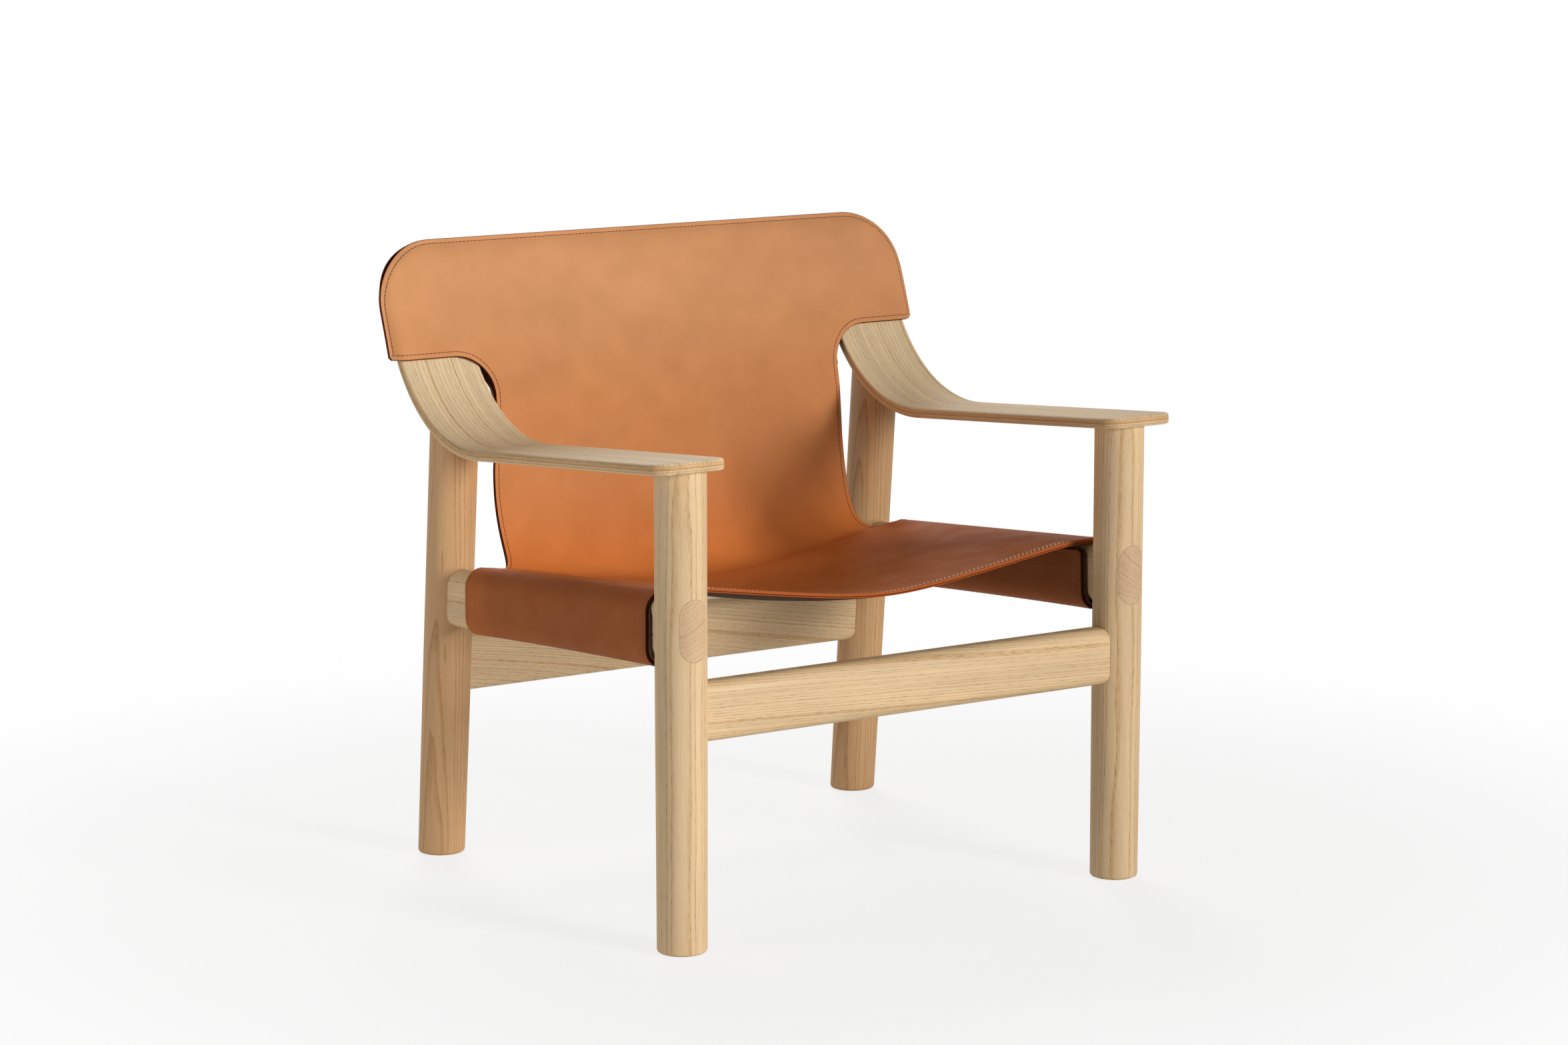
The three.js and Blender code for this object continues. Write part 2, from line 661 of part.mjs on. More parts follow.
// The waist and the curve of the pocket's mouth, out to a given half width
function waistRows(mouthReach) {
  const rows = [];
  for (let i = 1; i <= WAIST_ROWS; i += 1) {
    const share = i / WAIST_ROWS;
    const z = lerp(backStartZ, waistZ, share);
    rows.push(backRow(z, lerp(lowerHalf, waistHalf, share * share), z));
  }
  for (let i = 1; i <= MOUTH_ROWS; i += 1) {
    const turn = (i * Math.PI) / 2 / MOUTH_ROWS;
    const z = waistZ + MOUTH_ROUND * Math.sin(turn);
    rows.push(backRow(lerp(waistZ, mouthZ, i / MOUTH_ROWS), waistHalf + mouthReach * (1 - Math.cos(turn)), z));
  }
  return rows;
}

// The pockets: straight sides and round top corners
function pocketRows() {
  const rows = [];
  const cornerZ = backTopZ - POCKET_CORNER;
  const rise = cornerZ - mouthZ;
  rows.push(backRow(mouthZ + rise * 0.25, pocketHalf, mouthZ));
  rows.push(backRow(mouthZ + rise * 0.7, pocketHalf, mouthZ + rise * 0.5));
  for (let i = 0; i <= CORNER_ROWS; i += 1) {
    const turn = (i * Math.PI) / 2 / CORNER_ROWS;
    const endX = pocketHalf - POCKET_CORNER * (1 - Math.cos(turn));
    const endZ = cornerZ + POCKET_CORNER * Math.sin(turn);
    rows.push(backRow(lerp(cornerZ + rise * 0.1, backTopZ, i / CORNER_ROWS), endX, endZ));
  }
  return rows;
}

// A sheet of even thickness from patches of rows; patches meet along shared points
function sheet(patches, thickness, shift) {
  const places = new Map();
  const points = [];
  const quads = [];
  const indexOf = (p) => {
    const key = [p.x, p.y, p.z].map((v) => v.toFixed(4)).join();
    if (!places.has(key)) {
      places.set(key, points.length);
      points.push(p);
    }
    return places.get(key);
  };
  for (const rows of patches) {
    const ids = rows.map((row) => row.map(indexOf));
    for (let i = 0; i + 1 < ids.length; i += 1) {
      for (let j = 0; j + 1 < ids[i].length; j += 1) {
        quads.push([ids[i][j], ids[i][j + 1], ids[i + 1][j + 1], ids[i + 1][j]]);
      }
    }
  }
  const normals = points.map(() => point(0, 0, 0));
  const links = new Map();
  for (const quad of quads) {
    const [a, b, c, d] = quad.map((id) => points[id]);
    const normal = c.clone().sub(a).cross(d.clone().sub(b));
    quad.forEach((id, k) => {
      normals[id].add(normal);
      links.set(id + "," + quad[(k + 1) % 4], [id, quad[(k + 1) % 4]]);
    });
  }
  const layer = (offset) => points.map((p, i) => p.clone().addScaledVector(normals[i].normalize(), offset));
  const skin = [...layer(shift + thickness / 2), ...layer(shift - thickness / 2)];
  const under = points.length;
  const triangles = [];
  for (const [a, b, c, d] of quads) {
    triangles.push(a, b, c, a, c, d);
    triangles.push(under + a, under + c, under + b, under + a, under + d, under + c);
  }
  for (const [a, b] of links.values()) {
    if (links.has(b + "," + a)) continue;
    triangles.push(under + a, under + b, b, under + a, b, a);
  }
  const positions = skin.flatMap((p) => [p.x, p.y, p.z]);
  const geometry = new THREE.BufferGeometry();
  geometry.setAttribute("position", new THREE.Float32BufferAttribute(positions, 3));
  geometry.setIndex(triangles);
  return geometry;
}

const seat = seatRows();
const columnStart = (seat[0].length - 1) / 2 - HALF_COLUMNS;
const seatEnd = seat[SEAT_ROWS].slice(columnStart, columnStart + 2 * HALF_COLUMNS + 1);

function slingLeather() {
  const back = [seatEnd, ...turnRows(seat[SEAT_ROWS]), ...waistRows(MOUTH_ROUND), ...pocketRows()];
  return sheet([seat, back], LEATHER, 0);
}

const liningShift = -(LEATHER / 2 + LAYER_GAP + LINING / 2);

function slingLining() {
  const reach = (earInner - waistHalf) / 2;
  const back = [seatEnd, ...turnRows(seat[SEAT_ROWS]), ...waistRows(reach)];
  return sheet([seat, back], LINING, liningShift);
}

// The rear panel: behind the ears it stands off by their thickness, and it meets the leather at its edges
function backPanel() {
  const cornerZ = backTopZ - POCKET_CORNER;
  const lean = Math.cos(rad(EAR_LEAN_DEG));
  const behindSheet = -liningShift / lean;
  const behindEar = ARM_THICKNESS + SLEEVE_FIT + LINING / 2;
  const seam = POCKET_SIDE_MARGIN * 0.7;
  const foot = mouthZ + LAYER_GAP + LINING;
  const shares = [0, 0.06, 0.12, 0.2, 0.35, 0.6, 0.75, 0.88];
  const heights = shares.map((share) => lerp(foot, earTopZ, share));
  heights.push(earTopZ + LINING, lerp(earTopZ, backTopZ, 0.6), backTopZ - LINING);
  const rows = heights.map((z) => {
    const over = Math.max(0, z - cornerZ);
    const endX = pocketHalf - POCKET_CORNER + Math.sqrt(POCKET_CORNER ** 2 - over ** 2);
    const rise = 1 - THREE.MathUtils.clamp((z - earTopZ - LINING) / (backTopZ - earTopZ - 2 * LINING), 0, 1);
    const near = earInner - LINING - SLEEVE_FIT;
    const far = Math.max(endX - seam, near + LINING);
    const stops = [
      [0, 0],
      [near / 2, 0],
      [near - ARM_THICKNESS * 2, 0],
      [near, 1],
      [lerp(near, far, 0.5), 1],
      [far, 1],
      [endX, 0],
    ];
    const half = stops.map(([x, share]) => {
      const front = backY(z) + behindSheet;
      return point(x, lerp(front, Math.max(front, earDepth(z, behindEar)), share * rise), z);
    });
    const mirror = half.slice(1).reverse().map((p) => p.clone().setX(-p.x));
    return [...mirror, ...half];
  });
  return sheet([rows], LINING, 0);
}

// Assembly
const finish = (color, roughness, metalness = 0) =>
  new THREE.MeshStandardMaterial({ color, roughness, metalness });
const oak = finish("#d9c3a0", 0.55);
const ply = finish("#d3bc98", 0.5);
const beech = finish("#cfae82", 0.7);
const steel = finish("#9a9a98", 0.35, 1);
const glide = finish("#2b2a28", 0.6);
const tan = finish("#b8713f", 0.5);
const dark = finish("#2a1a15", 0.7);

const chair = new THREE.Group();
function add(name, geometry, material) {
  const mesh = new THREE.Mesh(geometry, material);
  mesh.name = name;
  chair.add(mesh);
}

for (const [hand, side] of sides) {
  add("leg_front_" + hand, frontLeg(side), oak);
  add("leg_rear_" + hand, rearLeg(side), oak);
  add("side_rail_" + hand, railGeometry(side), oak);
  add("rail_bolt_" + hand, boltGeometry(side), steel);
  add("rail_nut_" + hand, nutGeometry(side), steel);
  const sockets = [];
  for (const end of ["front", "rear"]) {
    for (const [place, label] of [[-1, "a"], [1, "b"]]) {
      add("arm_dowel_" + end + "_" + hand + "_" + label, dowel(side, end, place, 0), beech);
      sockets.push(dowel(side, end, place, FIT));
    }
  }
  add("arm_" + hand, armGeometry(side, sockets), ply);
  add("glide_front_" + hand, glideRod(side, 0, 0), glide);
  add("glide_rear_" + hand, glideRod(side, FOOT_SPACING, 0), glide);
}
add("front_stretcher", stretcherGeometry("front", 0), oak);
add("rear_stretcher", stretcherGeometry("rear", 0), oak);
add("sling_leather", slingLeather(), tan);
add("sling_lining", slingLining(), dark);
add("back_panel", backPanel(), dark);

const box = new THREE.Box3().setFromObject(chair);
const middle = box.getCenter(point(0, 0, 0));
for (const mesh of chair.children) mesh.geometry.translate(-middle.x, -middle.y, -box.min.z);

export default chair;
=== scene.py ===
# Lounge chair: round oak legs and rails, moulded plywood arms and a hung saddle-leather sling.
# Lengths are millimetres from the floor midway between the front legs, with +Y towards the back.
import math
import bpy
import numpy as np
from mathutils import Matrix, Vector
from mathutils.geometry import delaunay_2d_cdt


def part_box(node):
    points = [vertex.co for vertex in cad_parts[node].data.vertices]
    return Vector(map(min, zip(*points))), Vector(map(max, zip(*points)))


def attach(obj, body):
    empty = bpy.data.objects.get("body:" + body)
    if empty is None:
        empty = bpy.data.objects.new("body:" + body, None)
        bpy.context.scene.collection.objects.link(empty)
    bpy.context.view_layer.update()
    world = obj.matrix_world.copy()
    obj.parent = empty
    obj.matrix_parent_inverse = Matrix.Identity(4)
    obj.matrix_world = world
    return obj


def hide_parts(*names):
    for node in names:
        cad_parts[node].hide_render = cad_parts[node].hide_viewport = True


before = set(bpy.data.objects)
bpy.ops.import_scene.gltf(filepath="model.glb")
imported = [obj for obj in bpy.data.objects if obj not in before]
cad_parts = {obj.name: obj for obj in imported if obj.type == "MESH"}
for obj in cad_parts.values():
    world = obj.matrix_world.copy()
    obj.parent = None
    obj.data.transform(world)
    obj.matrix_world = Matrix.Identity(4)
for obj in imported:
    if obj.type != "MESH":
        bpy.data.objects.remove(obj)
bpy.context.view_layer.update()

# Front legs: two round posts turned from solid oak, drawn in a little towards the foot.
# Their tops are cut to the underside of the arms. A through mortise takes the side rail, and a
# housing takes the end of the front stretcher.
glide_low, glide_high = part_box("glide_front_left")
FLOOR_POINT = np.array([0, (glide_low.y + glide_high.y) / 2, 0])
HALF_SPREAD = -500 * (glide_low.x + glide_high.x)
leg_low, leg_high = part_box("leg_front_left")
LEG_RADIUS = 500 * (leg_high.x - leg_low.x)
LEG_FOOT = 1000 * leg_low.z
FOOT_RADIUS = LEG_RADIUS - 0.7
FOOT_TAPER = 260
FOOT_ROUND = 4
LEG_SIDES = 96
JOINT_GAP = 0.25

RAIL_WIDTH = 34
RAIL_HEIGHT = 72
RAIL_AT_FRONT = 378
RAIL_SLOPE = math.tan(math.radians(5))
RAIL_STRAIGHT = (RAIL_HEIGHT - RAIL_WIDTH) / 2

FRONT_STRETCHER = {"at": (0, 280), "height": 70, "thickness": 36}
STRETCHER_ROUND = 14
STRETCHER_HOUSING = 12
TENON = {"shoulder": 12, "thickness": 14, "past_axis": 12}

ARM_TOP_AT_FRONT = 573
ARM_FALL = math.radians(5)
ARM_THICKNESS = 13
ARM_BEND_RADIUS = 190
ARM_BEND_AHEAD = 138
REAR_LEAN = math.tan(math.radians(5))
rear_low, rear_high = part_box("glide_rear_left")
FOOT_SPACING = 500 * (rear_low.y + rear_high.y) - 1000 * FLOOR_POINT[1]
BEND_Y = FOOT_SPACING - ARM_TOP_AT_FRONT * REAR_LEAN - ARM_BEND_AHEAD
BEND_START_Y = BEND_Y - ARM_BEND_RADIUS * math.sin(ARM_FALL)
BEND_Z = (ARM_TOP_AT_FRONT - BEND_START_Y * math.tan(ARM_FALL)
          + ARM_BEND_RADIUS * math.cos(ARM_FALL))

SIDES = {"left": -1, "right": 1}


def metres(points):
    return np.asarray(points, float) / 1000 + FLOOR_POINT


def mix(start, end, share):
    return start + (end - start) * share


def smooth(low, high, value):
    share = np.clip((value - low) / (high - low), 0, 1)
    return share * share * (3 - 2 * share)


def unit(ways):
    return ways / np.linalg.norm(ways, axis=-1, keepdims=True)


def arm_underside(y):
    flat = ARM_TOP_AT_FRONT - y * math.tan(ARM_FALL) - ARM_THICKNESS / math.cos(ARM_FALL)
    radius = ARM_BEND_RADIUS + ARM_THICKNESS
    bend = BEND_Z - np.sqrt(np.maximum(radius ** 2 - (y - BEND_Y) ** 2, 0))
    return np.where(y < BEND_START_Y, flat, bend)


def rounded_loop(width, height, corner, steps=12):
    """A rectangle with round corners, counter-clockwise"""
    x, y = width / 2 - corner, height / 2 - corner
    loop = []
    for k, (cx, cy) in enumerate([(x, -y), (x, y), (-x, y), (-x, -y)]):
        for i in range(steps + 1):
            turn = math.pi / 2 * (k - 1 + i / steps)
            spot = (cx + corner * math.cos(turn), cy + corner * math.sin(turn))
            if not loop or math.dist(spot, loop[-1]) > 1e-6:
                loop.append(spot)
    if math.dist(loop[0], loop[-1]) < 1e-6:
        loop.pop()
    return np.array(loop)


def skin(rows, count):
    """Faces round a stack of closed loops, with a cap at each end"""
    faces = [tuple(range(count))[::-1]]
    for i in range(rows - 1):
        for j in range(count):
            a = i * count + j
            b = i * count + (j + 1) % count
            faces.append((a, b, b + count, a + count))
    faces.append(tuple(range((rows - 1) * count, rows * count)))
    return faces


def bar(loop, start, end, up=(0, 0, 1)):
    """A straight bar of one section between two points"""
    start, end = np.asarray(start, float), np.asarray(end, float)
    along = unit(end - start)
    high = unit(np.asarray(up, float) - np.dot(up, along) * along)
    across = np.cross(high, along)
    ring = loop[:, :1] * across + loop[:, 1:] * high
    return np.concatenate([ring + start, ring + end]), skin(2, len(loop))


def rod(radius, start, end, sides=48):
    turn = np.arange(sides) * 2 * math.pi / sides
    return bar(radius * np.stack([np.cos(turn), np.sin(turn)], 1), start, end, (0.3, 0.9, 0.3))


def cut(body, tools):
    """The body less each tool, all given as points and faces"""
    blanks = []
    for points, faces in [body, *tools]:
        mesh = bpy.data.meshes.new("blank")
        mesh.from_pydata(np.asarray(points).tolist(), [], faces)
        blank = bpy.data.objects.new("blank", mesh)
        bpy.context.scene.collection.objects.link(blank)
        blanks.append(blank)
    for tool in blanks[1:]:
        step = blanks[0].modifiers.new("cut", "BOOLEAN")
        step.operation = "DIFFERENCE"
        step.solver = "EXACT"
        step.object = tool
    depsgraph = bpy.context.evaluated_depsgraph_get()
    made = bpy.data.meshes.new_from_object(blanks[0].evaluated_get(depsgraph))
    points = np.array([v.co[:] for v in made.vertices])
    faces = [tuple(f.vertices) for f in made.polygons]
    bpy.data.meshes.remove(made)
    for blank in blanks:
        bpy.data.meshes.remove(blank.data)
    return points, faces


def piece(name, points, faces, finish, slot, stands_for=(), **values):
    """A mesh object in the chair's frame that carries its values on its points"""
    mesh = bpy.data.meshes.new(name)
    mesh.from_pydata(metres(points).tolist(), [], faces)
    mesh.polygons.foreach_set("use_smooth", [True] * len(faces))
    for key, value in values.items():
        vector = value.ndim == 2
        layer = mesh.attributes.new(key, "FLOAT_VECTOR" if vector else "FLOAT", "POINT")
        layer.data.foreach_set("vector" if vector else "value", value.astype(np.float32).ravel())
    mesh.materials.append(finish)
    made = bpy.data.objects.new(name, mesh)
    bpy.context.scene.collection.objects.link(made)
    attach(made, "root")
    if stands_for:
        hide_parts(*stands_for)
    return made


def colour(code):
    """An sRGB hex value as linear light"""
    parts = [int(code[i:i + 2], 16) / 255 for i in (1, 3, 5)]
    return (*[p / 12.92 if p <= 0.04045 else ((p + 0.055) / 1.055) ** 2.4 for p in parts], 1)


def feed(node, inputs):
    """Values for a node's sockets, and links from other nodes to them"""
    for key, value in dict(inputs).items():
        if isinstance(value, bpy.types.NodeSocket):
            node.id_data.links.new(value, node.inputs[key])
        else:
            node.inputs[key].default_value = value


def add(tree, kind, inputs=(), out=0, **settings):
    """One output of a new node, with its settings and what feeds it"""
    node = tree.nodes.new(kind)
    for key, value in settings.items():
        setattr(node, key, value)
    feed(node, inputs)
    return node.outputs[out]


def new_finish(name):
    finish = bpy.data.materials.new(name)
    finish.use_nodes = True
    return finish, finish.node_tree, finish.node_tree.nodes["Principled BSDF"]


# Oak is ring-porous: each year's ring opens with a row of wide vessels and closes with dense wood.
# Vessels are 0.3 mm wide, and are drawn about three times as wide so that they show.
RING_WIDTH = 3.5
PORE_WIDTH = 0.95
PORE_LENGTH = 15
PORE_DEPTH = 0.2
FIBRE_WIDTH = 0.8
FIBRE_LENGTH = 60
SWAY_WIDTH = 40
SWAY_LENGTH = 380
TONE_WIDTH = 20
TONE_LENGTH = 240


def oak_figure(tree, wander):
    """Sockets for the early wood, the vessels, the fibres and the broad change of tone"""
    def counted(place, width, length):
        """A place in the log, counted in widths across the grain and lengths along it"""
        each = (1 / width, 1 / width, 1 / length)
        return add(tree, "ShaderNodeVectorMath", {0: place, 1: each}, operation="MULTIPLY")

    grain = add(tree, "ShaderNodeAttribute", attribute_name="grain", out="Vector")
    slow = counted(grain, SWAY_WIDTH, SWAY_LENGTH)
    sway = add(tree, "ShaderNodeTexNoise", {"Vector": slow, "Scale": 1, "Detail": 2}, out="Color")
    middle = add(tree, "ShaderNodeVectorMath", {0: sway, 1: (0.5, 0.5, 0.5)}, operation="SUBTRACT")
    bent = add(tree, "ShaderNodeVectorMath", {0: middle, 1: (wander, wander, 0), 2: grain},
               operation="MULTIPLY_ADD")
    flat = add(tree, "ShaderNodeVectorMath", {0: bent, 1: (1, 1, 0)}, operation="MULTIPLY")
    radius = add(tree, "ShaderNodeVectorMath", {0: flat}, operation="LENGTH", out="Value")
    years = add(tree, "ShaderNodeMath", {0: radius, 1: 1 / RING_WIDTH}, operation="MULTIPLY")
    seasons = add(tree, "ShaderNodeTexNoise", {"W": years, "Scale": 0.4, "Detail": 1}, noise_dimensions="1D")
    uneven = add(tree, "ShaderNodeMath", {0: seasons, 1: 2.2, 2: years}, operation="MULTIPLY_ADD")
    phase = add(tree, "ShaderNodeMath", {0: uneven}, operation="FRACT")
    early = add(tree, "ShaderNodeMapRange", {0: phase, 1: 0.06, 2: 0.45, 3: 1.0, 4: 0.0},
                interpolation_type="SMOOTHSTEP")
    cells = counted(bent, PORE_WIDTH, PORE_LENGTH)
    vessels = add(tree, "ShaderNodeTexVoronoi", {"Vector": cells, "Scale": 1}, out="Distance")
    round_pores = add(tree, "ShaderNodeMapRange", {0: vessels, 1: 0.2, 2: 0.46, 3: 1.0, 4: 0.0},
                      interpolation_type="SMOOTHSTEP")
    sown = add(tree, "ShaderNodeMath", {0: early, 1: 0.88, 2: 0.12}, operation="MULTIPLY_ADD")
    pores = add(tree, "ShaderNodeMath", {0: round_pores, 1: sown}, operation="MULTIPLY")
    threads = counted(bent, FIBRE_WIDTH, FIBRE_LENGTH)
    fibres = add(tree, "ShaderNodeTexNoise", {"Vector": threads, "Scale": 1, "Detail": 2})
    wide = counted(grain, TONE_WIDTH, TONE_LENGTH)
    broad = add(tree, "ShaderNodeTexNoise", {"Vector": wide, "Scale": 1, "Detail": 1})
    return early, pores, fibres, broad


def open_pores(tree, shader, wood, pores, dark, shut, roughness, dent):
    """The vessels as dark sunk lines on a wood, which lie fully open only where the grain ends"""
    ended = add(tree, "ShaderNodeAttribute", attribute_name="end_grain", out="Fac")
    opened = add(tree, "ShaderNodeMapRange", {0: ended, 3: shut, 4: 0.9})
    shown = add(tree, "ShaderNodeMath", {0: pores, 1: opened}, operation="MULTIPLY")
    sunk = add(tree, "ShaderNodeMath", {0: pores, 1: -1.0}, operation="MULTIPLY")
    depth = PORE_DEPTH / 1000
    feed(shader, {
        "Base Color": add(tree, "ShaderNodeMix", {0: shown, 6: wood, 7: dark}, data_type="RGBA", out=2),
        "Roughness": add(tree, "ShaderNodeMapRange", {0: pores, 3: roughness[0], 4: roughness[1]}),
        "Normal": add(tree, "ShaderNodeBump", {"Height": sunk, "Strength": dent, "Distance": depth}),
        "IOR": 1.5,
    })


# Soaped solid oak: planed and sanded smooth, with a pale matt finish that leaves the pores open.
# The eye sees straight bands of early wood, short dark pore lines, and dots where the grain ends.
OAK_LATE = colour("#E1C195")
OAK_EARLY = colour("#D2AC7A")
OAK_PORE = colour("#94693F")
OAK_END = colour("#C7A080")
OAK_SHADED_REAR = colour("#EBD8C5")
OAK_WANDER = 9
soaped_oak, tree, shader = new_finish("soaped_solid_oak")
early, pores, fibres, broad = oak_figure(tree, OAK_WANDER)
bands = add(tree, "ShaderNodeMix", {0: early, 6: OAK_LATE, 7: OAK_EARLY}, data_type="RGBA", out=2)
tone = add(tree, "ShaderNodeMapRange", {0: broad, 1: 0.3, 2: 0.7, 3: 0.91, 4: 1.06})
streak = add(tree, "ShaderNodeMapRange", {0: fibres, 1: 0.25, 2: 0.75, 3: 0.91, 4: 1.06})
level = add(tree, "ShaderNodeMath", {0: tone, 1: streak}, operation="MULTIPLY")
even = add(tree, "ShaderNodeVectorMath", {0: bands, 3: level}, operation="SCALE")
# Painted shade: a leg's wood is darkened and warmed towards the leather's tone, as shade behind the sling
# and light bounced off it.
heart = add(tree, "ShaderNodeAttribute", attribute_name="heartwood", out="Fac")
toned = add(tree, "ShaderNodeMix", {0: heart, 6: even, 7: OAK_SHADED_REAR},
            data_type="RGBA", blend_type="MULTIPLY", out=2)
ended = add(tree, "ShaderNodeAttribute", attribute_name="end_grain", out="Fac")
end_share = add(tree, "ShaderNodeMath", {0: ended, 1: 0.55}, operation="MULTIPLY")
ends = add(tree, "ShaderNodeMix", {0: end_share, 6: toned, 7: OAK_END}, data_type="RGBA", out=2)
open_pores(tree, shader, ends, pores, OAK_PORE, shut=0.6, roughness=(0.6, 0.8), dent=0.35)


def oak_grain(points, along, across, pith, tilt=0.0, start=0.0):
    """Places in the log, in mm: two across the grain, measured from the pith, and one along it"""
    along = unit(np.asarray(along, float))
    across = unit(np.asarray(across, float) - np.dot(across, along) * along)
    third = np.cross(along, across)
    length = points @ along
    from_pith = points @ across + pith[0] + tilt * length
    return np.stack([from_pith, points @ third + pith[1], length + start], 1)


def leg_blank(foot_y, lean):
    turn = np.arange(LEG_SIDES) * 2 * math.pi / LEG_SIDES
    quarter = np.linspace(0, math.pi / 2, 7)
    radii = list(FOOT_RADIUS - FOOT_ROUND * (1 - np.sin(quarter)))
    heights = list(LEG_FOOT + FOOT_ROUND * (1 - np.cos(quarter)))
    rings = []
    for r, z in zip(radii, heights):
        rings.append(np.stack([r * np.cos(turn), foot_y - z * lean + r * np.sin(turn), 0 * turn + z], 1))
    top = np.full(LEG_SIDES, float(ARM_TOP_AT_FRONT))
    for _ in range(40):
        top = arm_underside(foot_y - top * lean + LEG_RADIUS * np.sin(turn)) - JOINT_GAP
    for share in (0.0, 0.25, 0.5, 0.75, 1.0):
        z = mix(FOOT_TAPER, top, share)
        x = LEG_RADIUS * np.cos(turn)
        rings.append(np.stack([x, foot_y - z * lean + LEG_RADIUS * np.sin(turn), z], 1))
    return np.concatenate(rings), skin(len(rings), LEG_SIDES)


def leg_normals(points, faces, centre_x, foot_y, lean):
    """Turned faces shade as a true round, and cut faces stay flat"""
    x = points[:, 0] - centre_x
    y = points[:, 1] - foot_y + points[:, 2] * lean
    reach = np.hypot(x, y)
    drop = np.clip(1 - (points[:, 2] - LEG_FOOT) / FOOT_ROUND, 0, 1)
    level = np.sqrt(1 - drop ** 2) / np.maximum(reach, 1e-6)
    rounds = unit(np.stack([x * level, y * level, -drop + y * level * lean], 1))
    normals = []
    for face in faces:
        ring = points[list(face)]
        flat = np.cross(ring - ring[0], np.roll(ring, -1, 0) - ring[0]).sum(0)
        flat /= max(np.linalg.norm(flat), 1e-9)
        turned = min(reach[list(face)]) > FOOT_RADIUS - FOOT_ROUND - 0.1
        turned = turned and (rounds[list(face)] @ flat).min() > 0.8
        normals.extend(rounds[i] if turned else flat for i in face)
    return normals


def rail_axis(side, y):
    return np.array([side * HALF_SPREAD, y, RAIL_AT_FRONT - y * RAIL_SLOPE])


def rail_tool(side, start_y, end_y):
    wide, high = RAIL_WIDTH + 2 * JOINT_GAP, RAIL_HEIGHT + 2 * JOINT_GAP
    loop = rounded_loop(wide, high, wide / 2, 20)
    return bar(loop, rail_axis(side, start_y), rail_axis(side, end_y))


def stretcher_bars(sizes, lean, gap):
    """The full section between the housings, and the tenons past them"""
    y, z = sizes["at"]
    up = (0, -lean, 1)
    shoulder = HALF_SPREAD - LEG_RADIUS + STRETCHER_HOUSING + gap
    reach = HALF_SPREAD + TENON["past_axis"] + gap
    beam = rounded_loop(sizes["thickness"] + 2 * gap, sizes["height"] + 2 * gap, STRETCHER_ROUND + gap)
    high = sizes["height"] - 2 * TENON["shoulder"] + 2 * gap
    tongue = rounded_loop(TENON["thickness"] + 2 * gap, high, TENON["thickness"] / 2 + gap - 0.01)
    bars = [bar(beam, (-shoulder, y, z), (shoulder, y, z), up)]
    for side in (-1, 1):
        bars.append(bar(tongue, (side * (shoulder - 1), y, z), (side * reach, y, z), up))
    return bars


def glide_tool(side, foot_y):
    low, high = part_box("glide_front_left")
    radius = 500 * (high.x - low.x) + JOINT_GAP
    foot = np.array([side * HALF_SPREAD, foot_y, 0])
    return rod(radius, foot - (0, 0, 5), foot + (0, 0, 1000 * high.z + JOINT_GAP))


def turned_leg(name, side, foot_y, lean, tools, pith, tilt, start, heart):
    """One leg cut for its joints, with its place in the log and its share of painted shade"""
    points, faces = leg_blank(foot_y, lean)
    points, faces = cut((points + (side * HALF_SPREAD, 0, 0), faces), tools)
    local = points - (side * HALF_SPREAD, foot_y, 0)
    grain = oak_grain(local, (0, -lean, 1), (1, 0, 0), pith, tilt, start)
    leg = piece("turned_leg_" + name, points, faces, soaped_oak, "oak", ["leg_" + name],
                grain=grain, heartwood=np.full(len(points), heart))
    leg.data.normals_split_custom_set(leg_normals(points, faces, side * HALF_SPREAD, foot_y, lean))


PAST_LEG = 60
LEG_PITH = {"left": (-42, -62), "right": (-30, -72)}
FRONT_GRAIN = {"tilt": 0.012, "start": 700}
for hand, side in SIDES.items():
    rail_hole = rail_tool(side, -PAST_LEG, PAST_LEG)
    tools = [rail_hole, *stretcher_bars(FRONT_STRETCHER, 0, JOINT_GAP), glide_tool(side, 0)]
    turned_leg("front_" + hand, side, 0, 0, tools, LEG_PITH[hand], FRONT_GRAIN["tilt"],
               FRONT_GRAIN["start"] * side, 0.0)

# Rear legs: the same turned oak posts, leaning forward by five degrees under the bend of the arms.
# Each is housed for the rear stretcher and for the rail, and bored from behind for a sunk bolt.
REAR_STRETCHER_Z = 250
REAR_STRETCHER = {"at": (FOOT_SPACING - REAR_STRETCHER_Z * REAR_LEAN, REAR_STRETCHER_Z),
                  "height": 80, "thickness": 38}
RAIL_LEG_Y = (FOOT_SPACING - RAIL_AT_FRONT * REAR_LEAN) / (1 - RAIL_SLOPE * REAR_LEAN)
RAIL_END_SHORT = 6
RAIL_END_Y = RAIL_LEG_Y - RAIL_END_SHORT
BOLT_RADIUS = 4
BOLT_REACH = 130
BOLT_HEAD_RADIUS = 6.5
BOLT_HEAD_RECESS = 11
RAIL_ALONG = unit(np.array([0, 1, -RAIL_SLOPE]))
REAR_GRAIN = {"tilt": 0.02, "start": 2100}


def bolt_tools(side):
    axis = rail_axis(side, RAIL_LEG_Y)
    seat = axis + RAIL_ALONG * (LEG_RADIUS - BOLT_HEAD_RECESS)
    shank = rod(BOLT_RADIUS + JOINT_GAP, axis - RAIL_ALONG * BOLT_REACH, seat + RAIL_ALONG)
    return [shank, rod(BOLT_HEAD_RADIUS + JOINT_GAP, seat, axis + RAIL_ALONG * PAST_LEG)]


# The rear legs take the full painted shade; the front legs take none.
for hand, side in SIDES.items():
    tools = [rail_tool(side, RAIL_END_Y - PAST_LEG, RAIL_END_Y + JOINT_GAP), glide_tool(side, FOOT_SPACING)]
    tools += stretcher_bars(REAR_STRETCHER, REAR_LEAN, JOINT_GAP) + bolt_tools(side)
    turned_leg("rear_" + hand, side, FOOT_SPACING, REAR_LEAN, tools, LEG_PITH[hand][::-1],
               REAR_GRAIN["tilt"], REAR_GRAIN["start"] * side, 1.0)

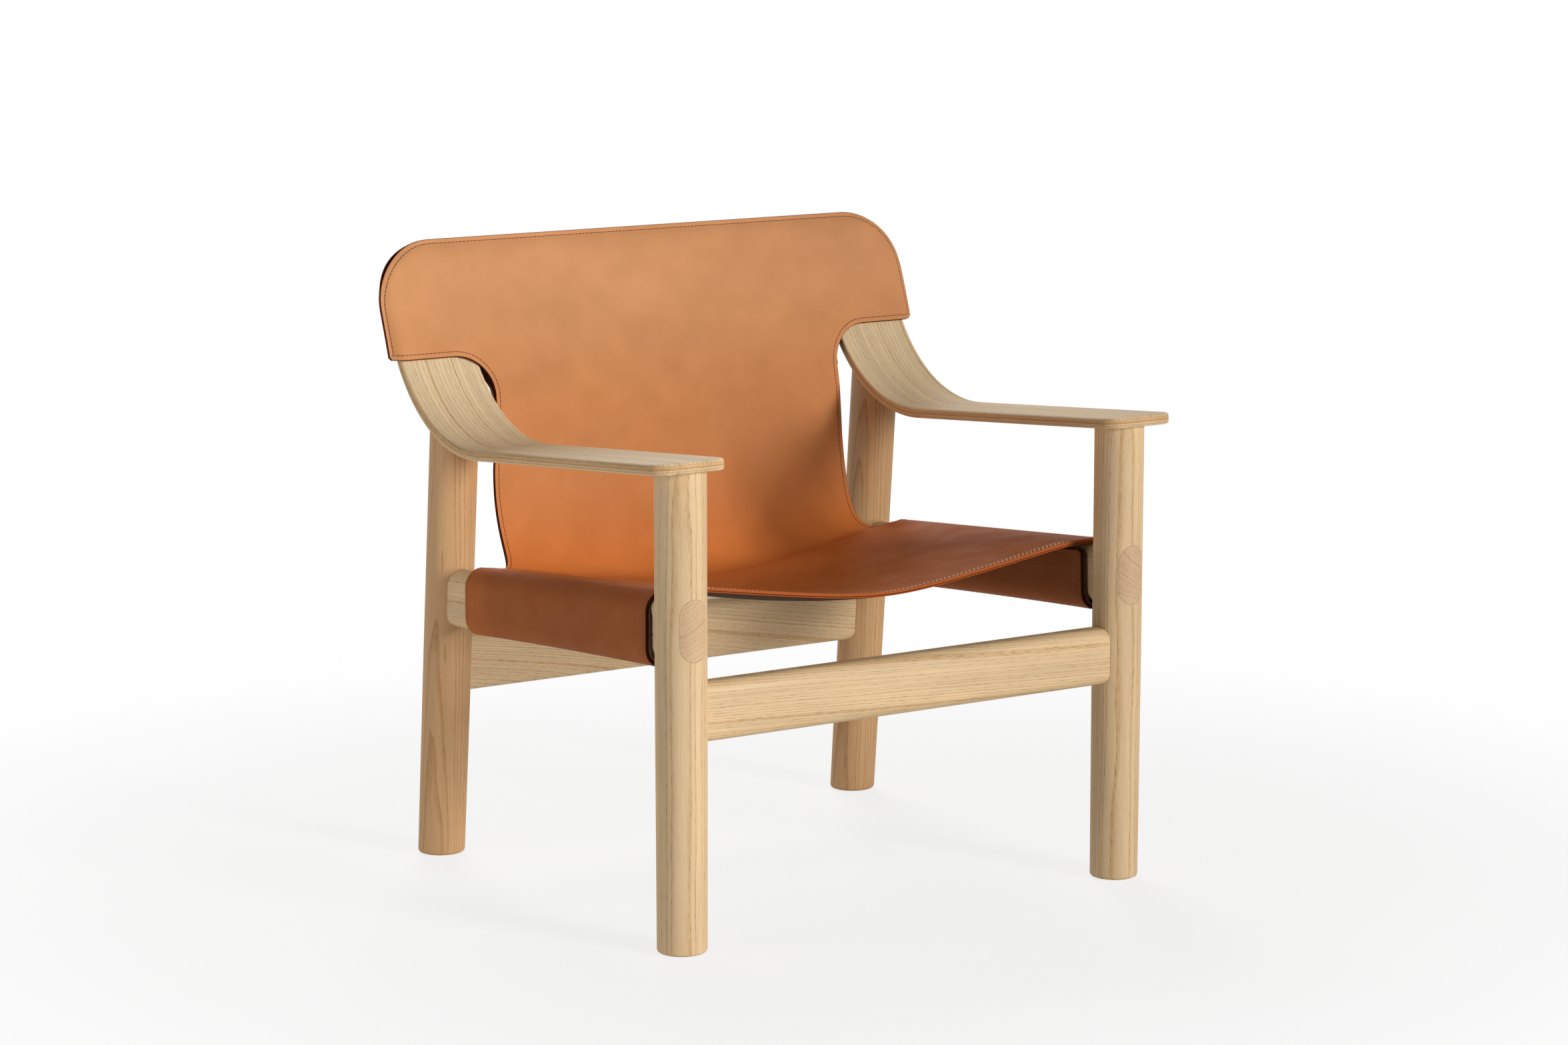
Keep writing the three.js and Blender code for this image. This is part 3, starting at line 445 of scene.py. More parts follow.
# Stretchers: two planks of solid oak with well rounded edges, tenoned into the legs and glued.
# They are sawn with the rings slanting through them, so that slow bands run across their faces.
SHARP_EDGE = math.radians(35)
PLANK_ACROSS = (0, 0.25, 1)
PLANK_START = 5000


def joined(parts):
    """Several meshes as one"""
    points, faces, start = [], [], 0
    for part_points, part_faces in parts:
        points.append(part_points)
        faces += [tuple(start + i for i in face) for face in part_faces]
        start += len(part_points)
    return np.concatenate(points), faces


for name, sizes, lean, tilt, pith in (
    ("front_stretcher", FRONT_STRETCHER, 0, 0.05, (88, 25)),
    ("rear_stretcher", REAR_STRETCHER, REAR_LEAN, 0.16, (120, -14)),
):
    points, faces = joined(stretcher_bars(sizes, lean, 0))
    local = points - (0, *sizes["at"])
    grain = oak_grain(local, (1, 0, 0), PLANK_ACROSS, pith, tilt, PLANK_START * tilt)
    plank = piece("oak_" + name, points, faces, soaped_oak, "oak", [name], grain=grain)
    plank.data.set_sharp_from_angle(angle=SHARP_EDGE)

# Side rails: two oak bars with full round edges, pushed in through the front legs from the front.
# Their front ends are flush with the round of the leg and show end grain; a bolt from behind and a
# barrel nut draw their rear ends into the rear legs.
NUT_RADIUS = 7
NUT_LENGTH = 22
NUT_FROM_END = 85
RAIL_PITH = {"left": (30, 64), "right": (-42, 70)}
RAIL_GRAIN = {"tilt": 0.02, "start": 900}
RAIL_RINGS_Y = (60, 250, 440, RAIL_END_Y)
RAIL_UP = unit(np.array([0, RAIL_SLOPE, 1]))
rail_loop = rounded_loop(RAIL_WIDTH, RAIL_HEIGHT, RAIL_WIDTH / 2 - 0.001, 20)
for hand, side in SIDES.items():
    rings = []
    for share in (0, 0.2, 0.4, 0.6, 0.8, 1):
        ring = rail_loop * max(share, 0.001)
        flush = -np.sqrt(LEG_RADIUS ** 2 - ring[:, 0] ** 2)
        spots = rail_axis(side, 0) + ring[:, :1] * (1, 0, 0) + ring[:, 1:] * RAIL_UP
        rings.append(spots + RAIL_ALONG * ((flush - spots[:, 1]) / RAIL_ALONG[1])[:, None])
    for y in RAIL_RINGS_Y:
        rings.append(rail_axis(side, y) + rail_loop[:, :1] * (1, 0, 0) + rail_loop[:, 1:] * RAIL_UP)
    faces = [face[::-1] for face in skin(len(rings), len(rail_loop))]
    nut = rail_axis(side, RAIL_LEG_Y) - RAIL_ALONG * (NUT_FROM_END + RAIL_END_SHORT)
    nut_end = nut + (side * (NUT_LENGTH / 2 + JOINT_GAP), 0, 0)
    nut_bore = rod(NUT_RADIUS + JOINT_GAP, nut - (side * RAIL_WIDTH, 0, 0), nut_end)
    points, faces = cut((np.concatenate(rings), faces), [bolt_tools(side)[0], nut_bore])
    local = points - rail_axis(side, 0)
    grain = oak_grain(local, RAIL_ALONG, (1, 0, 0), RAIL_PITH[hand], RAIL_GRAIN["tilt"],
                      RAIL_GRAIN["start"] * side)
    on_leg = np.hypot(local[:, 0], points[:, 1]) < LEG_RADIUS + 0.05
    end_grain = np.where(on_leg & (points[:, 1] < 0), 1.0, 0.0)
    rail = piece("oak_rail_" + hand, points, faces, soaped_oak, "oak", ["side_rail_" + hand],
                 grain=grain, end_grain=end_grain)
    rail.data.set_sharp_from_angle(angle=SHARP_EDGE)

# Connector bolts and barrel nuts: zinc-plated steel, sunk in the rear legs and across the rails.
# Zinc plate is a dull bluish grey metal, with a fine crystal mottle that varies its gloss.
ZINC = colour("#A9ABAD")
ZINC_CRYSTAL = 0.9
zinc_plate, tree, shader = new_finish("zinc_plated_steel")
place = add(tree, "ShaderNodeTexCoord", out="Object")
spangle = add(tree, "ShaderNodeTexVoronoi", {"Vector": place, "Scale": 1000 / ZINC_CRYSTAL}, out="Color")
gloss = add(tree, "ShaderNodeMapRange", {0: spangle, 3: 0.3, 4: 0.48})
feed(shader, {"Base Color": ZINC, "Metallic": 1, "Roughness": gloss})


def dress(start, finish):
    """Give a finish to the CAD pieces whose names start alike"""
    for name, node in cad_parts.items():
        if name.startswith(start):
            node.data.materials.clear()
            node.data.materials.append(finish)


dress("rail_bolt", zinc_plate)
dress("rail_nut", zinc_plate)

# Dowels and glides: fluted beech pins inside the joints, and black nylon discs under the feet.
# Raw beech is a dry pinkish tan with short flecks; moulded nylon is a matt near-black with a soft sheen.
BEECH = colour("#CDA97D")
BEECH_FLECK = colour("#A97F55")
FLECK_LENGTH = 2.5
FLECK_WIDTH = FLECK_LENGTH / 4
raw_beech, tree, shader = new_finish("raw_beech")
place = add(tree, "ShaderNodeTexCoord", out="Object")
flecks = (1000 / FLECK_WIDTH, 1000 / FLECK_WIDTH, 1000 / FLECK_LENGTH)
long = add(tree, "ShaderNodeVectorMath", {0: place, 1: flecks}, operation="MULTIPLY")
fleck = add(tree, "ShaderNodeTexNoise", {"Vector": long, "Scale": 1, "Detail": 2})
flecked = add(tree, "ShaderNodeMapRange", {0: fleck, 1: 0.5, 2: 0.7})
tint = add(tree, "ShaderNodeMix", {0: flecked, 6: BEECH, 7: BEECH_FLECK}, data_type="RGBA", out=2)
feed(shader, {"Base Color": tint, "Roughness": 0.7})
dress("arm_dowel", raw_beech)

NYLON = colour("#262523")
NYLON_GRIT = 0.5
moulded_nylon, tree, shader = new_finish("moulded_nylon")
place = add(tree, "ShaderNodeTexCoord", out="Object")
grit = add(tree, "ShaderNodeTexNoise", {"Vector": place, "Scale": 1000 / NYLON_GRIT, "Detail": 2})
dull = add(tree, "ShaderNodeMapRange", {0: grit, 3: 0.45, 4: 0.65})
pitted = add(tree, "ShaderNodeBump", {"Height": grit, "Strength": 0.2, "Distance": 0.0001})
feed(shader, {"Base Color": NYLON, "Roughness": dull, "Normal": pitted, "IOR": 1.53})
dress("glide", moulded_nylon)

# Arms: nine oak veneers glued over a mould, with all their grain along the arm, and cut to shape.
# Each lies flat on its front leg, sweeps up over the rear leg and ends in a leaning ear.
ARM_WIDTH = 101
ARM_OUTBOARD = 6
ARM_OVERHANG = 41
ARM_CORNER = 27
ARM_EDGE_ROUND = 4
ARM_BEND_END = math.radians(56)
EAR_BEND_RADIUS = 90
EAR_LEAN = math.radians(18)
EAR_STRAIGHT = 114
EAR_WIDTH = 106
EAR_OUTBOARD = 8.5
EAR_CORNER = 48
EAR_ANGLE = math.pi / 2 - EAR_LEAN
EAR_BEND_Y = BEND_Y + (ARM_BEND_RADIUS - EAR_BEND_RADIUS) * math.sin(ARM_BEND_END)
EAR_BEND_Z = BEND_Z - (ARM_BEND_RADIUS - EAR_BEND_RADIUS) * math.cos(ARM_BEND_END)
EAR_START_Y = EAR_BEND_Y + EAR_BEND_RADIUS * math.sin(EAR_ANGLE)
EAR_START_Z = EAR_BEND_Z - EAR_BEND_RADIUS * math.cos(EAR_ANGLE)
FLAT_LENGTH = (BEND_START_Y + ARM_OVERHANG) / math.cos(ARM_FALL)
BEND_LENGTH = ARM_BEND_RADIUS * (ARM_BEND_END + ARM_FALL)
EAR_BEND_LENGTH = EAR_BEND_RADIUS * (EAR_ANGLE - ARM_BEND_END)
ARM_LENGTH = FLAT_LENGTH + BEND_LENGTH + EAR_BEND_LENGTH + EAR_STRAIGHT
EAR_TOP_Z = EAR_START_Z + EAR_STRAIGHT * math.cos(EAR_LEAN)

# Moulded oak plywood: the face veneer is pale and straight-grained with fine pore lines.
# Its sanded edge shows the glued layers in slightly different tones, and speckles where grain ends.
PLY = 1.44
VENEER_PALE = colour("#F0D5AB")
VENEER_DARK = colour("#D7B588")
VENEER_PORE = colour("#92693F")
PLY_EDGE = colour("#C79862")
PLY_LIGHT = colour("#DBB382")
PLY_PALE = colour("#DECBA8")
PALE_DEPTH = 8.2
GLUE = colour("#7D6142")
VENEER_WANDER = 3
oak_plywood, tree, shader = new_finish("moulded_oak_plywood")
early, pores, fibres, broad = oak_figure(tree, VENEER_WANDER)
bands = add(tree, "ShaderNodeMix", {0: early, 6: VENEER_PALE, 7: VENEER_DARK}, data_type="RGBA", out=2)
depth = add(tree, "ShaderNodeAttribute", attribute_name="depth", out="Fac")
layer = add(tree, "ShaderNodeMath", {0: depth, 1: 1 / PLY}, operation="MULTIPLY")
order = add(tree, "ShaderNodeMath", {0: layer}, operation="FLOOR")
shuffled = add(tree, "ShaderNodeTexWhiteNoise", {"W": order}, noise_dimensions="1D")
plies = add(tree, "ShaderNodeMix", {0: shuffled, 6: PLY_EDGE, 7: PLY_LIGHT}, data_type="RGBA", out=2)
within = add(tree, "ShaderNodeMath", {0: layer}, operation="FRACT")
seam = add(tree, "ShaderNodeMapRange", {0: within, 1: 0.12, 2: 0.0, 3: 0.0, 4: 0.4})
glued = add(tree, "ShaderNodeMix", {0: seam, 6: plies, 7: GLUE}, data_type="RGBA", out=2)
off_pale = add(tree, "ShaderNodeMath", {0: depth, 1: PALE_DEPTH}, operation="SUBTRACT")
from_pale = add(tree, "ShaderNodeMath", {0: off_pale}, operation="ABSOLUTE")
pale_ply = add(tree, "ShaderNodeMapRange", {0: from_pale, 1: 0.3, 2: 0.7, 3: 0.85, 4: 0.0})
layered = add(tree, "ShaderNodeMix", {0: pale_ply, 6: glued, 7: PLY_PALE}, data_type="RGBA", out=2)
edge = add(tree, "ShaderNodeAttribute", attribute_name="ply_edge", out="Fac")
faced = add(tree, "ShaderNodeMix", {0: edge, 6: bands, 7: layered}, data_type="RGBA", out=2)
tone = add(tree, "ShaderNodeMapRange", {0: broad, 1: 0.3, 2: 0.7, 3: 0.93, 4: 1.05})
streak = add(tree, "ShaderNodeMapRange", {0: fibres, 1: 0.25, 2: 0.75, 3: 0.9, 4: 1.06})
level = add(tree, "ShaderNodeMath", {0: tone, 1: streak}, operation="MULTIPLY")
toned = add(tree, "ShaderNodeVectorMath", {0: faced, 3: level}, operation="SCALE")
open_pores(tree, shader, toned, pores, VENEER_PORE, shut=0.62, roughness=(0.66, 0.82), dent=0.3)
feed(shader, {"Specular IOR Level": 0.3})


def arm_station(length):
    """The upper surface at a length from the front edge: depth, height and slope"""
    if length < FLAT_LENGTH:
        y = length * math.cos(ARM_FALL) - ARM_OVERHANG
        return y, ARM_TOP_AT_FRONT - y * math.tan(ARM_FALL), -ARM_FALL
    in_bend = length - FLAT_LENGTH
    if in_bend < BEND_LENGTH:
        angle = in_bend / ARM_BEND_RADIUS - ARM_FALL
        y, z = BEND_Y + ARM_BEND_RADIUS * math.sin(angle), BEND_Z - ARM_BEND_RADIUS * math.cos(angle)
        return y, z, angle
    in_ear_bend = in_bend - BEND_LENGTH
    if in_ear_bend < EAR_BEND_LENGTH:
        angle = ARM_BEND_END + in_ear_bend / EAR_BEND_RADIUS
        y, z = EAR_BEND_Y + EAR_BEND_RADIUS * math.sin(angle), EAR_BEND_Z - EAR_BEND_RADIUS * math.cos(angle)
        return y, z, angle
    in_ear = in_ear_bend - EAR_BEND_LENGTH
    return EAR_START_Y + in_ear * math.cos(EAR_ANGLE), EAR_START_Z + in_ear * math.sin(EAR_ANGLE), EAR_ANGLE


def round_inset(distance, corner):
    """How far a round end draws in, at a distance from that end"""
    if distance >= corner:
        return 0
    return corner - math.sqrt(max(corner ** 2 - (corner - distance) ** 2, 0))


def arm_loop(width, thickness):
    """A section with round edges, and points close beside them that keep the faces flat"""
    corner = min(ARM_EDGE_ROUND, thickness / 2 - 0.01, width / 2 - 0.01)
    loop = rounded_loop(width, thickness, corner, 6)
    flat = width / 2 - corner
    spread = [flat * share for share in (0.98, 0.9, 0.6, 0.3, 0, -0.3, -0.6, -0.9, -0.98)]
    top = [(x, thickness / 2) for x in spread]
    bottom = [(-x, -thickness / 2) for x in spread]
    split = len(loop) // 4
    return np.concatenate([loop[:2 * split], top, loop[2 * split:], bottom])


def easing(size, count):
    """Steps in from a round end, close together where it turns most"""
    return [size * (1 - math.cos(i * math.pi / 2 / count)) for i in range(count + 1)]


BEND_AHEAD = 70
nose_steps = easing(ARM_EDGE_ROUND, 6)
station_list = easing(ARM_CORNER, 18) + nose_steps
station_list += [ARM_LENGTH - step for step in easing(EAR_CORNER, 24) + nose_steps]
station_list += list(np.linspace(ARM_CORNER, FLAT_LENGTH - BEND_AHEAD, 8))
station_list += list(np.linspace(FLAT_LENGTH - BEND_AHEAD, ARM_LENGTH - EAR_CORNER, 70))
ARM_PITH = {"left": (240, 60), "right": (-262, 75)}
ARM_GRAIN_START = 400
WIDENING = ARM_BEND_RADIUS / 3
FACE_LEVEL = ARM_THICKNESS / 2 - ARM_EDGE_ROUND * 0.35
EDGE_LEVEL = ARM_THICKNESS / 2 - ARM_EDGE_ROUND * 0.7
for hand, side in SIDES.items():
    rings, depths, places, edges, ends = [], [], [], [], []
    for length in sorted(set(np.round(station_list, 3))):
        y, z, angle = arm_station(length)
        blend = float(smooth(FLAT_LENGTH - WIDENING, FLAT_LENGTH + WIDENING, length))
        centre = side * (HALF_SPREAD + mix(ARM_OUTBOARD, EAR_OUTBOARD, blend))
        end = ARM_LENGTH - length
        plan = max(round_inset(length, ARM_CORNER), round_inset(end, EAR_CORNER))
        nose = max(round_inset(length, ARM_EDGE_ROUND), round_inset(end, ARM_EDGE_ROUND))
        loop = arm_loop(mix(ARM_WIDTH, EAR_WIDTH, blend) - 2 * plan, ARM_THICKNESS - 2 * nose)
        normal = np.array([0, -math.sin(angle), math.cos(angle)])
        middle = np.array([centre, y, z]) - normal * ARM_THICKNESS / 2
        rings.append(middle + loop[:, :1] * (1, 0, 0) + loop[:, 1:] * normal)
        depths.append(ARM_THICKNESS / 2 - loop[:, 1])
        across, down = loop[:, 0] + ARM_PITH[hand][0], depths[-1] + ARM_PITH[hand][1]
        places.append(np.stack([across, down, 0 * down + length + ARM_GRAIN_START * side], 1))
        edges.append(smooth(FACE_LEVEL, EDGE_LEVEL, np.abs(loop[:, 1])))
        ends.append(edges[-1] * max(1 - length / ARM_CORNER, 1 - end / EAR_CORNER, 0))
    points = np.concatenate(rings)
    faces = [face[::-1] for face in skin(len(rings), len(rings[0]))]
    piece("plywood_arm_" + hand, points, faces, oak_plywood, "plywood", ["arm_" + hand],
          grain=np.concatenate(places), depth=np.concatenate(depths), ply_edge=np.concatenate(edges),
          end_grain=np.concatenate(ends))

# Leather sling: one hide cut as a seat with a sleeve at each side, a waist and a wide back.
# It is 3.4 mm saddle leather; the sleeves slide on the rails and the pockets of the back hang on the ears.
LEATHER = 3.4
LINING = 1.6
LAYER_GAP = 0.5
SLEEVE_FIT = 0.6
SLEEVE_RADIUS = RAIL_WIDTH / 2 + SLEEVE_FIT + LINING + LAYER_GAP + LEATHER / 2
SEAT_BEHIND_LEG = 10
SEAT_AHEAD_OF_LEG = 51
SEAT_FRONT_Y = LEG_RADIUS + SEAT_BEHIND_LEG
SEAT_LENGTH = RAIL_LEG_Y - LEG_RADIUS - SEAT_AHEAD_OF_LEG - SEAT_FRONT_Y
SEAT_SAG_FRONT = 34
SEAT_SAG_REAR = 40
SEAT_SAG_BOW = 12
SEAT_CENTRE_SHORT = 16
SEAT_BOW_REAR = 0.55
TROUGH_ROUND = 0.25
TROUGH_HALF = 0.86
SHOULDER = 0.05
SLEEVE_HANG = 5
FLAP_RISE = 28
POCKET_ABOVE_EAR = 14.5
POCKET_BESIDE_EAR = 13
POCKET_DEPTH = 138.5
POCKET_CORNER = 80
POCKET_FOOT_CORNER = 3
POCKET_TOP = EAR_TOP_Z + POCKET_ABOVE_EAR
MOUTH_ROUND = 50
MOUTH_Z = POCKET_TOP - POCKET_DEPTH
EAR_OUTER = HALF_SPREAD + EAR_OUTBOARD + EAR_WIDTH / 2
POCKET_HALF = EAR_OUTER + POCKET_BESIDE_EAR
WAIST_IN = 59.5
LOWER_IN = 54
WAIST_HALF = HALF_SPREAD - WAIST_IN
LOWER_HALF = HALF_SPREAD - LOWER_IN
WAIST_Z = MOUTH_Z - MOUTH_ROUND
WAIST_AHEAD = 0.5
WAIST_Y = FOOT_SPACING - WAIST_Z * REAR_LEAN - WAIST_AHEAD
TURN_LENGTH = 170
BACK_START_Z = 488
TURN_END = SEAT_LENGTH + TURN_LENGTH
WAIST_Q = TURN_END + WAIST_Z - BACK_START_Z
MOUTH_Q = TURN_END + MOUTH_Z - BACK_START_Z
TOP_Q = TURN_END + (POCKET_TOP - BACK_START_Z)
SHEET_TO_EAR = (SLEEVE_FIT + LEATHER / 2) / math.cos(EAR_LEAN)
EAR_CONTACT = 0.6
CONTACT_Z = EAR_START_Z + EAR_STRAIGHT * EAR_CONTACT
LEAN_IN = 50
SEAM_FOLD = (-3, 12)
SEAM_BACK_AT_TOP = 5.0
SEAM_BACK_AT_MOUTH = 10.5


def ear_depth(z, behind):
    """The depth of a surface a given distance behind the ear's front face"""
    tight, wide = EAR_BEND_RADIUS + behind, ARM_BEND_RADIUS + behind
    start_z = EAR_BEND_Z - tight * math.cos(EAR_ANGLE)
    start_y = EAR_BEND_Y + tight * math.sin(EAR_ANGLE)
    straight = start_y + (z - start_z) / math.tan(EAR_ANGLE)
    bend = EAR_BEND_Y + np.sqrt(np.maximum(tight ** 2 - (EAR_BEND_Z - z) ** 2, 0))
    sweep = BEND_Y + np.sqrt(np.maximum(wide ** 2 - (BEND_Z - z) ** 2, 0))
    curved = np.where(z > BEND_Z - wide * math.cos(ARM_BEND_END), bend, sweep)
    return np.where(z > start_z, straight, curved)


def bezier(controls, share):
    a, b, c, d = (np.asarray(point, float) for point in controls)
    share = np.asarray(share)[..., None]
    rest = 1 - share
    return a * rest ** 3 + 3 * b * rest ** 2 * share + 3 * c * rest * share ** 2 + d * share ** 3


CONTACT_Y = float(ear_depth(CONTACT_Z, 0)) - SHEET_TO_EAR
back_curve = bezier([
    (WAIST_Y, mix(BACK_START_Z, WAIST_Z, 0.55)),
    (WAIST_Y, mix(WAIST_Z, MOUTH_Z, 0.62)),
    (CONTACT_Y - LEAN_IN * math.tan(EAR_LEAN), CONTACT_Z - LEAN_IN),
    (CONTACT_Y, CONTACT_Z),
], np.linspace(0, 1, 200))


def beyond_ear(x, z):
    """The distance past the ear's outer edge and top, negative on the ear"""
    corner_x = np.abs(x) - (EAR_OUTER - EAR_CORNER)
    corner_z = z - (EAR_TOP_Z - EAR_CORNER)
    round_off = np.hypot(np.maximum(corner_x, 0), np.maximum(corner_z, 0)) - EAR_CORNER
    return np.where((corner_x > 0) & (corner_z > 0), round_off, np.maximum(corner_x, corner_z) - EAR_CORNER)


def back_depth(x, z):
    """Upright at the waist, then along the ears, and drawn back beyond their edges to the seam"""
    curve = np.interp(z, back_curve[:, 1], back_curve[:, 0])
    depth = np.where(z > CONTACT_Z, ear_depth(z, 0) - SHEET_TO_EAR, curve)
    fold = smooth(*SEAM_FOLD, beyond_ear(x, z))
    low = np.clip((CONTACT_Z - z) / (CONTACT_Z - MOUTH_Z), 0, 1)
    return depth + fold * mix(SEAM_BACK_AT_TOP, SEAM_BACK_AT_MOUTH, low)


def seat_row(share):
    """A row across the seat: its depth, the rail's height, the sag, the slope at the rail and its edge"""
    y = SEAT_FRONT_Y + SEAT_LENGTH * share
    rail_z = RAIL_AT_FRONT - y * RAIL_SLOPE
    sag = mix(SEAT_SAG_FRONT, SEAT_SAG_REAR, share) + SEAT_SAG_BOW * 4 * share * (1 - share)
    slope = np.arctan(2 * SEAT_BOW_REAR * share * sag / HALF_SPREAD)
    edge_x = HALF_SPREAD - SLEEVE_RADIUS * np.sin(slope)
    edge_z = rail_z + RAIL_STRAIGHT + SLEEVE_RADIUS * np.cos(slope)
    return y, rail_z, sag, slope, edge_x, edge_z


REAR_Y, _, REAR_SAG, _, REAR_EDGE_X, REAR_EDGE_Z = (float(size) for size in seat_row(1.0))
TURN_EDGE = [
    (REAR_EDGE_X, REAR_Y, REAR_EDGE_Z),
    (LOWER_HALF - 15.5, REAR_Y + 1.4, REAR_EDGE_Z - 18.5),
    (LOWER_HALF + 6, WAIST_Y - 7, REAR_EDGE_Z),
    (LOWER_HALF, WAIST_Y, BACK_START_Z),
]
TURN_SPINE = [
    (0, REAR_Y - SEAT_CENTRE_SHORT, REAR_EDGE_Z - REAR_SAG),
    (0, REAR_Y + 28, REAR_EDGE_Z - REAR_SAG - 5),
    (0, WAIST_Y - 1, REAR_EDGE_Z - REAR_SAG + 34),
    (0, WAIST_Y, BACK_START_Z),
]


def seat_rise(across, share):
    """The climb from the middle to the rail: a soft trough at the front edge, nearer a plain bow behind"""
    reach = math.hypot(TROUGH_HALF, TROUGH_ROUND) - TROUGH_ROUND
    trough = (np.hypot(across, TROUGH_ROUND) - TROUGH_ROUND) / reach
    settled = 1 - SHOULDER * np.log1p(np.exp((1 - trough) / SHOULDER))
    return mix(settled, across ** 2, SEAT_BOW_REAR * share)


def sling_region(p, q):
    """0 on the seat, 1 on a sleeve, 2 on the turn and 3 on the back"""
    edge_x = seat_row(np.clip(q / SEAT_LENGTH, 0, 1))[4]
    seat = np.where(np.abs(p) > edge_x, 1, 0)
    return np.where(q <= SEAT_LENGTH, seat, np.where(q < TURN_END, 2, 3))


def sling_point(p, q, region):
    """A place on the hide, across and along its flat pattern, to the same place on the chair"""
    reach, side = np.abs(p), np.where(p < 0, -1, 1)
    share = q / SEAT_LENGTH
    y, rail_z, sag, slope, edge_x, edge_z = seat_row(share)
    rise = seat_rise(reach / edge_x, np.clip(share, 0, 1))
    seat = np.stack([p, y - SEAT_CENTRE_SHORT * share * (1 - rise), edge_z - sag * (1 - rise)], 1)

    r = SLEEVE_RADIUS
    hang = SLEEVE_HANG * np.clip(1 - share, 0, 1) ** 2
    past = reach - edge_x
    over = r * (math.pi / 2 + slope)
    down = over + 2 * RAIL_STRAIGHT + hang
    under = down + math.pi * r
    low = rail_z - RAIL_STRAIGHT - hang
    top_turn = past / r - slope
    low_turn = math.pi / 2 + (past - down) / r
    places = [past < over, past < down, past < under]
    sleeve_x = np.select(places, [r * np.sin(top_turn), r + 0 * past, r * np.sin(low_turn)], -r)
    rail_top = rail_z + RAIL_STRAIGHT
    heights = [rail_top + r * np.cos(top_turn), rail_top - (past - over), low + r * np.cos(low_turn)]
    sleeve_z = np.select(places, heights, low + (past - under))
    sleeve = np.stack([side * (HALF_SPREAD + sleeve_x), y, sleeve_z], 1)

    turn = np.clip((q - SEAT_LENGTH) / TURN_LENGTH, 0, 1.05)
    edge, spine = bezier(TURN_EDGE, turn), bezier(TURN_SPINE, turn)
    across = reach / edge[:, 0]
    lift = mix(seat_rise(across, 1), across ** 2.4, smooth(0, 1, turn))
    bend = spine + (edge - spine) * lift[:, None]
    bend[:, 0] = p

    z = BACK_START_Z + q - TURN_END
    back = np.stack([p, back_depth(p, z), z], 1)
    return np.choose(region[:, None], [seat, sleeve, bend, back])


def laid(place, spots):
    """Points of a sheet, their normals on its front, and how it runs across and along its pattern"""
    p, q = spots[:, 0], spots[:, 1]
    step = 0.4
    across = place(p + step, q) - place(p - step, q)
    along = place(p, q + step) - place(p, q - step)
    return place(p, q), unit(np.cross(across, along)), across, along


def sling_surface(spots):
    region = sling_region(spots[:, 0], spots[:, 1])
    return laid(lambda p, q: sling_point(p, q, region), spots)


def arc(centre, radius, start_deg, end_deg, steps=12):
    turn = np.radians(np.linspace(start_deg, end_deg, steps + 1))
    return np.stack([centre[0] + radius * np.cos(turn), centre[1] + radius * np.sin(turn)], 1)


def run(points):
    """How far along a line each of its points is"""
    return np.concatenate([[0], np.cumsum(np.linalg.norm(np.diff(points, axis=0), axis=1))])


def stepped(lengths, spacing):
    return np.linspace(0, lengths[-1], max(int(round(lengths[-1] / spacing)), 1) + 1)


def along_line(at, lengths, values):
    return np.stack([np.interp(at, lengths, column) for column in values.T], 1)


def one_line(parts, spacing, least):
    """Several open lines as one with even steps, less the points that all but repeat"""
    lines = []
    for part in parts:
        part = np.asarray(part, float)
        lines.append(along_line(stepped(run(part), spacing), run(part), part))
    line = np.concatenate(lines)
    keep = np.linalg.norm(np.diff(line, axis=0), axis=1) > least
    return line[np.concatenate([[True], keep])]


